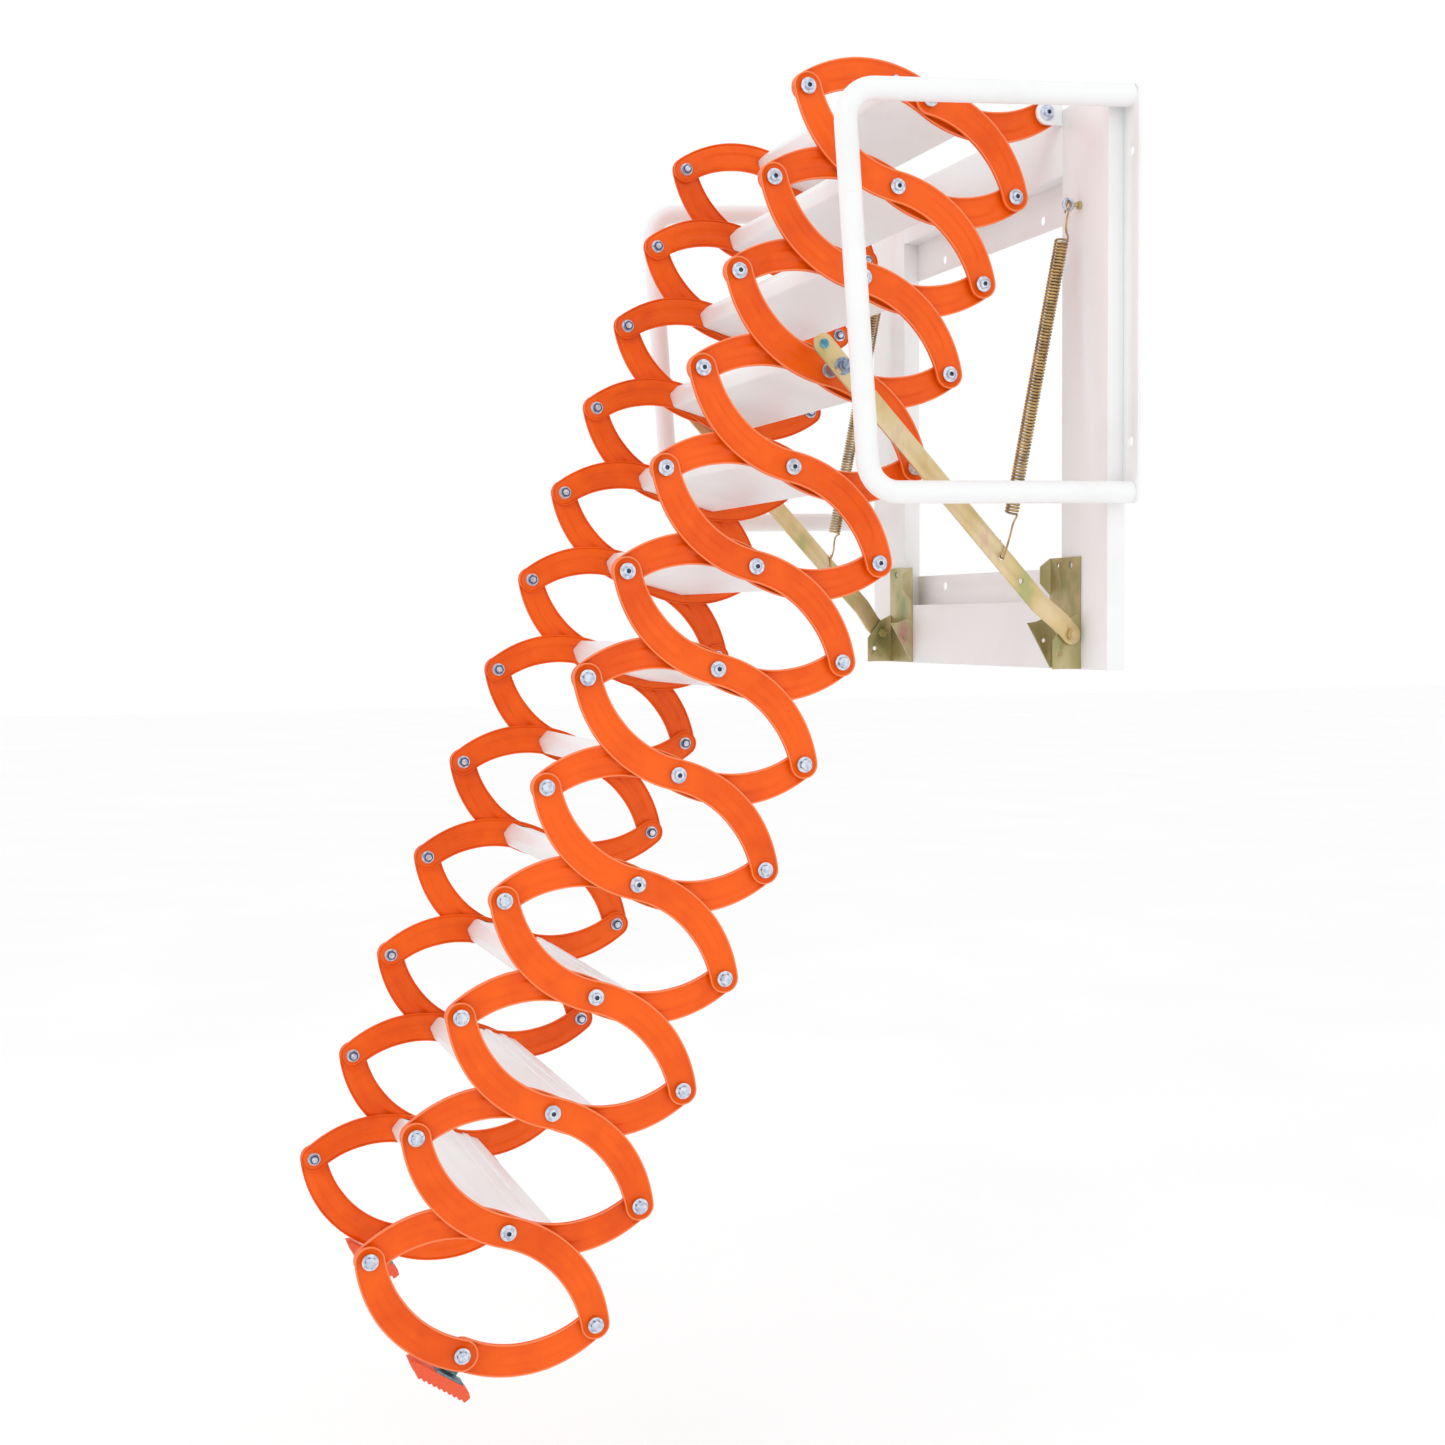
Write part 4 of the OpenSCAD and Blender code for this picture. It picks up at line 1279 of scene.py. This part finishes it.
# ---------------------------------------------------------------- feet
@dataclass
class Feet:
    """Swivel feet: a serrated rubber pad under a folded steel shoe, on its own bolt."""

    sheets: SheetWork
    palette: Palette
    lattice: Lattice
    bolts: PivotBolts
    tilt: float = 34.0
    shoe_half: float = 0.0215
    shoe_low: float = -0.0325
    bolt_radius: float = 0.0101
    shank_radius: float = 0.005
    plate: Point = (0.2414, 0.2442)
    pad: Point = (0.2386, 0.2670)
    pad_outline: tuple[Point, ...] = ((0.037, -0.0400), (0.031, -0.0345), (0.021, -0.0315), (-0.054, -0.0315),
                                      (-0.060, -0.0355), (-0.050, -0.0425))
    tooth_from: float = -0.041
    tooth_pitch: float = 0.0078
    teeth: int = 10
    tooth_tip: float = -0.0487
    tooth_root: float = -0.0445

    def _place(self, x: float = 0.0) -> Matrix:
        """Takes a shape drawn beside the foot's pin to the near foot."""
        return self.lattice.view(self.lattice.middle(self.lattice.stages), x, -self.tilt)

    def _shoe(self) -> bpy.types.Object:
        """The CAD's shoes with rounded edges, without their pads and bolts."""
        piece = self.sheets.rounded("feet", "shoes", 0.0005, 2)
        back = self._place().inverted()

        def spare(p: Vector) -> bool:
            """In a pad, a bolt or a nut."""
            local = back @ Vector((abs(p.x), p.y, p.z))
            in_plate = self.plate[0] < local.z < self.plate[1]
            return (abs(local.x) > self.shoe_half or local.y < self.shoe_low
                    or (local.to_2d().length < self.bolt_radius and not in_plate))

        Bench.open(piece)
        Bench.pick(spare)
        bpy.ops.mesh.delete(type="VERT")
        Bench.close()
        Bench.paint(piece, self.palette.shoe)
        return piece

    def _pad(self) -> bpy.types.Object:
        """The rubber pad with its row of teeth."""
        teeth: list[Point] = []
        for k in range(self.teeth):
            start = self.tooth_from + k * self.tooth_pitch
            teeth += [(start, self.tooth_root), (start + self.tooth_pitch * 0.25, self.tooth_tip),
                      (start + self.tooth_pitch * 0.6, self.tooth_tip)]
        low, high = self.pad
        pad = Bench.prism("pad", (*teeth, *self.pad_outline), low, high)
        Bench.soften(pad, 0.0007, 2)
        Bench.smooth(32, pad)
        Bench.paint(pad, self.palette.rubber)
        return self.bolts.patterns.keep(pad)

    def build(self) -> None:
        """Makes the shoes, their pads and their bolts."""
        lat = self.lattice
        shank = Bench.peg(self.shank_radius, (0, 0, self.plate[0] - 0.0015), (0, 0, lat.head_seat + 0.001))
        Bench.paint(shank, self.palette.bolt)
        self.bolts.patterns.keep(shank)
        casts = [(part, m) for part in (self._pad(), shank) for m in lat.both(self._place())]
        casts += [(self.bolts.heads[Head.HEXAGON], m) for m in lat.both(self._place(lat.head_seat))]
        casts += [(self.bolts.nut, m) for m in lat.both(self._place(self.plate[0]))]
        piece = Bench.join("swivel_feet", [self._shoe(), Bench.cast("foot_parts", casts)])
        Bench.hang(piece, "feet", "foot_pair", Finish.RUBBER)


# ---------------------------------------------------------------- the studio
@dataclass
class Studio:
    """The floor, the lights and the camera."""

    eye: tuple[float, float, float] = (2.6866, -1.4110, -0.3146)
    right: tuple[float, float, float] = (0.3384, 0.9410, -0.0075)
    up: tuple[float, float, float] = (-0.0471, 0.0249, 0.9986)
    ahead: tuple[float, float, float] = (-0.9398, 0.3376, -0.0528)
    focal: float = 48.26

    def camera(self) -> None:
        """Sets the camera."""
        data = bpy.data.cameras.new("camera")
        data.sensor_width = 36.0
        data.lens = self.focal
        data.clip_start, data.clip_end = 0.05, 200.0
        camera = bpy.data.objects.new("camera", data)
        turn = Matrix((self.right, self.up, -Vector(self.ahead))).transposed().to_4x4()
        camera.matrix_world = Matrix.Translation(self.eye) @ turn
        bpy.context.scene.collection.objects.link(camera)
        bpy.context.scene.camera = camera

    def _lamp(self, name: str, place: Sequence[float], aim: Sequence[float], size: float, power: float) -> None:
        """Adds a square soft light that looks at a point."""
        data = bpy.data.lights.new(name, "AREA")
        data.shape, data.size, data.energy = "SQUARE", size, power
        lamp = bpy.data.objects.new(name, data)
        lamp.location = place
        lamp.rotation_euler = (Vector(aim) - Vector(place)).to_track_quat("-Z", "Y").to_euler()
        bpy.context.scene.collection.objects.link(lamp)

    def build(self) -> None:
        """Adds the floor, the sky and the lights."""
        low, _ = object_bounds()
        Bench.clear()
        bpy.ops.mesh.primitive_grid_add(x_subdivisions=8, y_subdivisions=8, size=60,
                                        location=(0, 0, low.z - 0.45))
        floor = bpy.context.object
        floor.name = "floor"
        Bench.settle(floor)
        g = Graph("pale_floor")
        tone = g.ramp(g.noise(1.5, 3.0), [(0.3, (0.97, 0.97, 0.97)), (0.7, (0.99, 0.99, 0.99))])
        Bench.paint(floor, g.finish({"Roughness": 0.9}, {"Base Color": tone}))
        floor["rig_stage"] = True
        world = bpy.data.worlds.new("studio")
        world.use_nodes = True
        sky = world.node_tree.nodes["Background"]
        sky.inputs["Color"].default_value = (1, 1, 1, 1)
        sky.inputs["Strength"].default_value = 1.0
        bpy.context.scene.world = world
        aim = (0.0, -0.4, -0.3)
        self._lamp("key", (2.6, -3.0, 2.6), aim, 2.2, 16)
        self._lamp("fill", (3.6, 0.6, 0.4), aim, 2.5, 5)
        self._lamp("far", (-3.0, -2.0, 1.2), aim, 2.5, 4)
        bpy.context.scene.view_settings.view_transform = "Standard"


def main() -> None:
    """Builds the ladder's looks in order."""
    logging.basicConfig(level=logging.INFO, format="%(message)s")
    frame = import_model()
    studio = Studio()
    studio.camera()
    palette, patterns, lattice = Palette(), Patterns(), Lattice()
    sheets = SheetWork(frame["nodes"], palette, lattice)
    PressedLinks(lattice, palette, patterns).build()
    bolts = PivotBolts(lattice, palette, patterns)
    bolts.build()
    Treads(lattice, palette, patterns).build()
    sheets.build()
    Handrails(palette, patterns).build()
    TensionSprings(palette, patterns).build()
    Feet(sheets, palette, lattice, bolts).build()
    patterns.clear()
    studio.build()


if __name__ == "__main__":
    main()
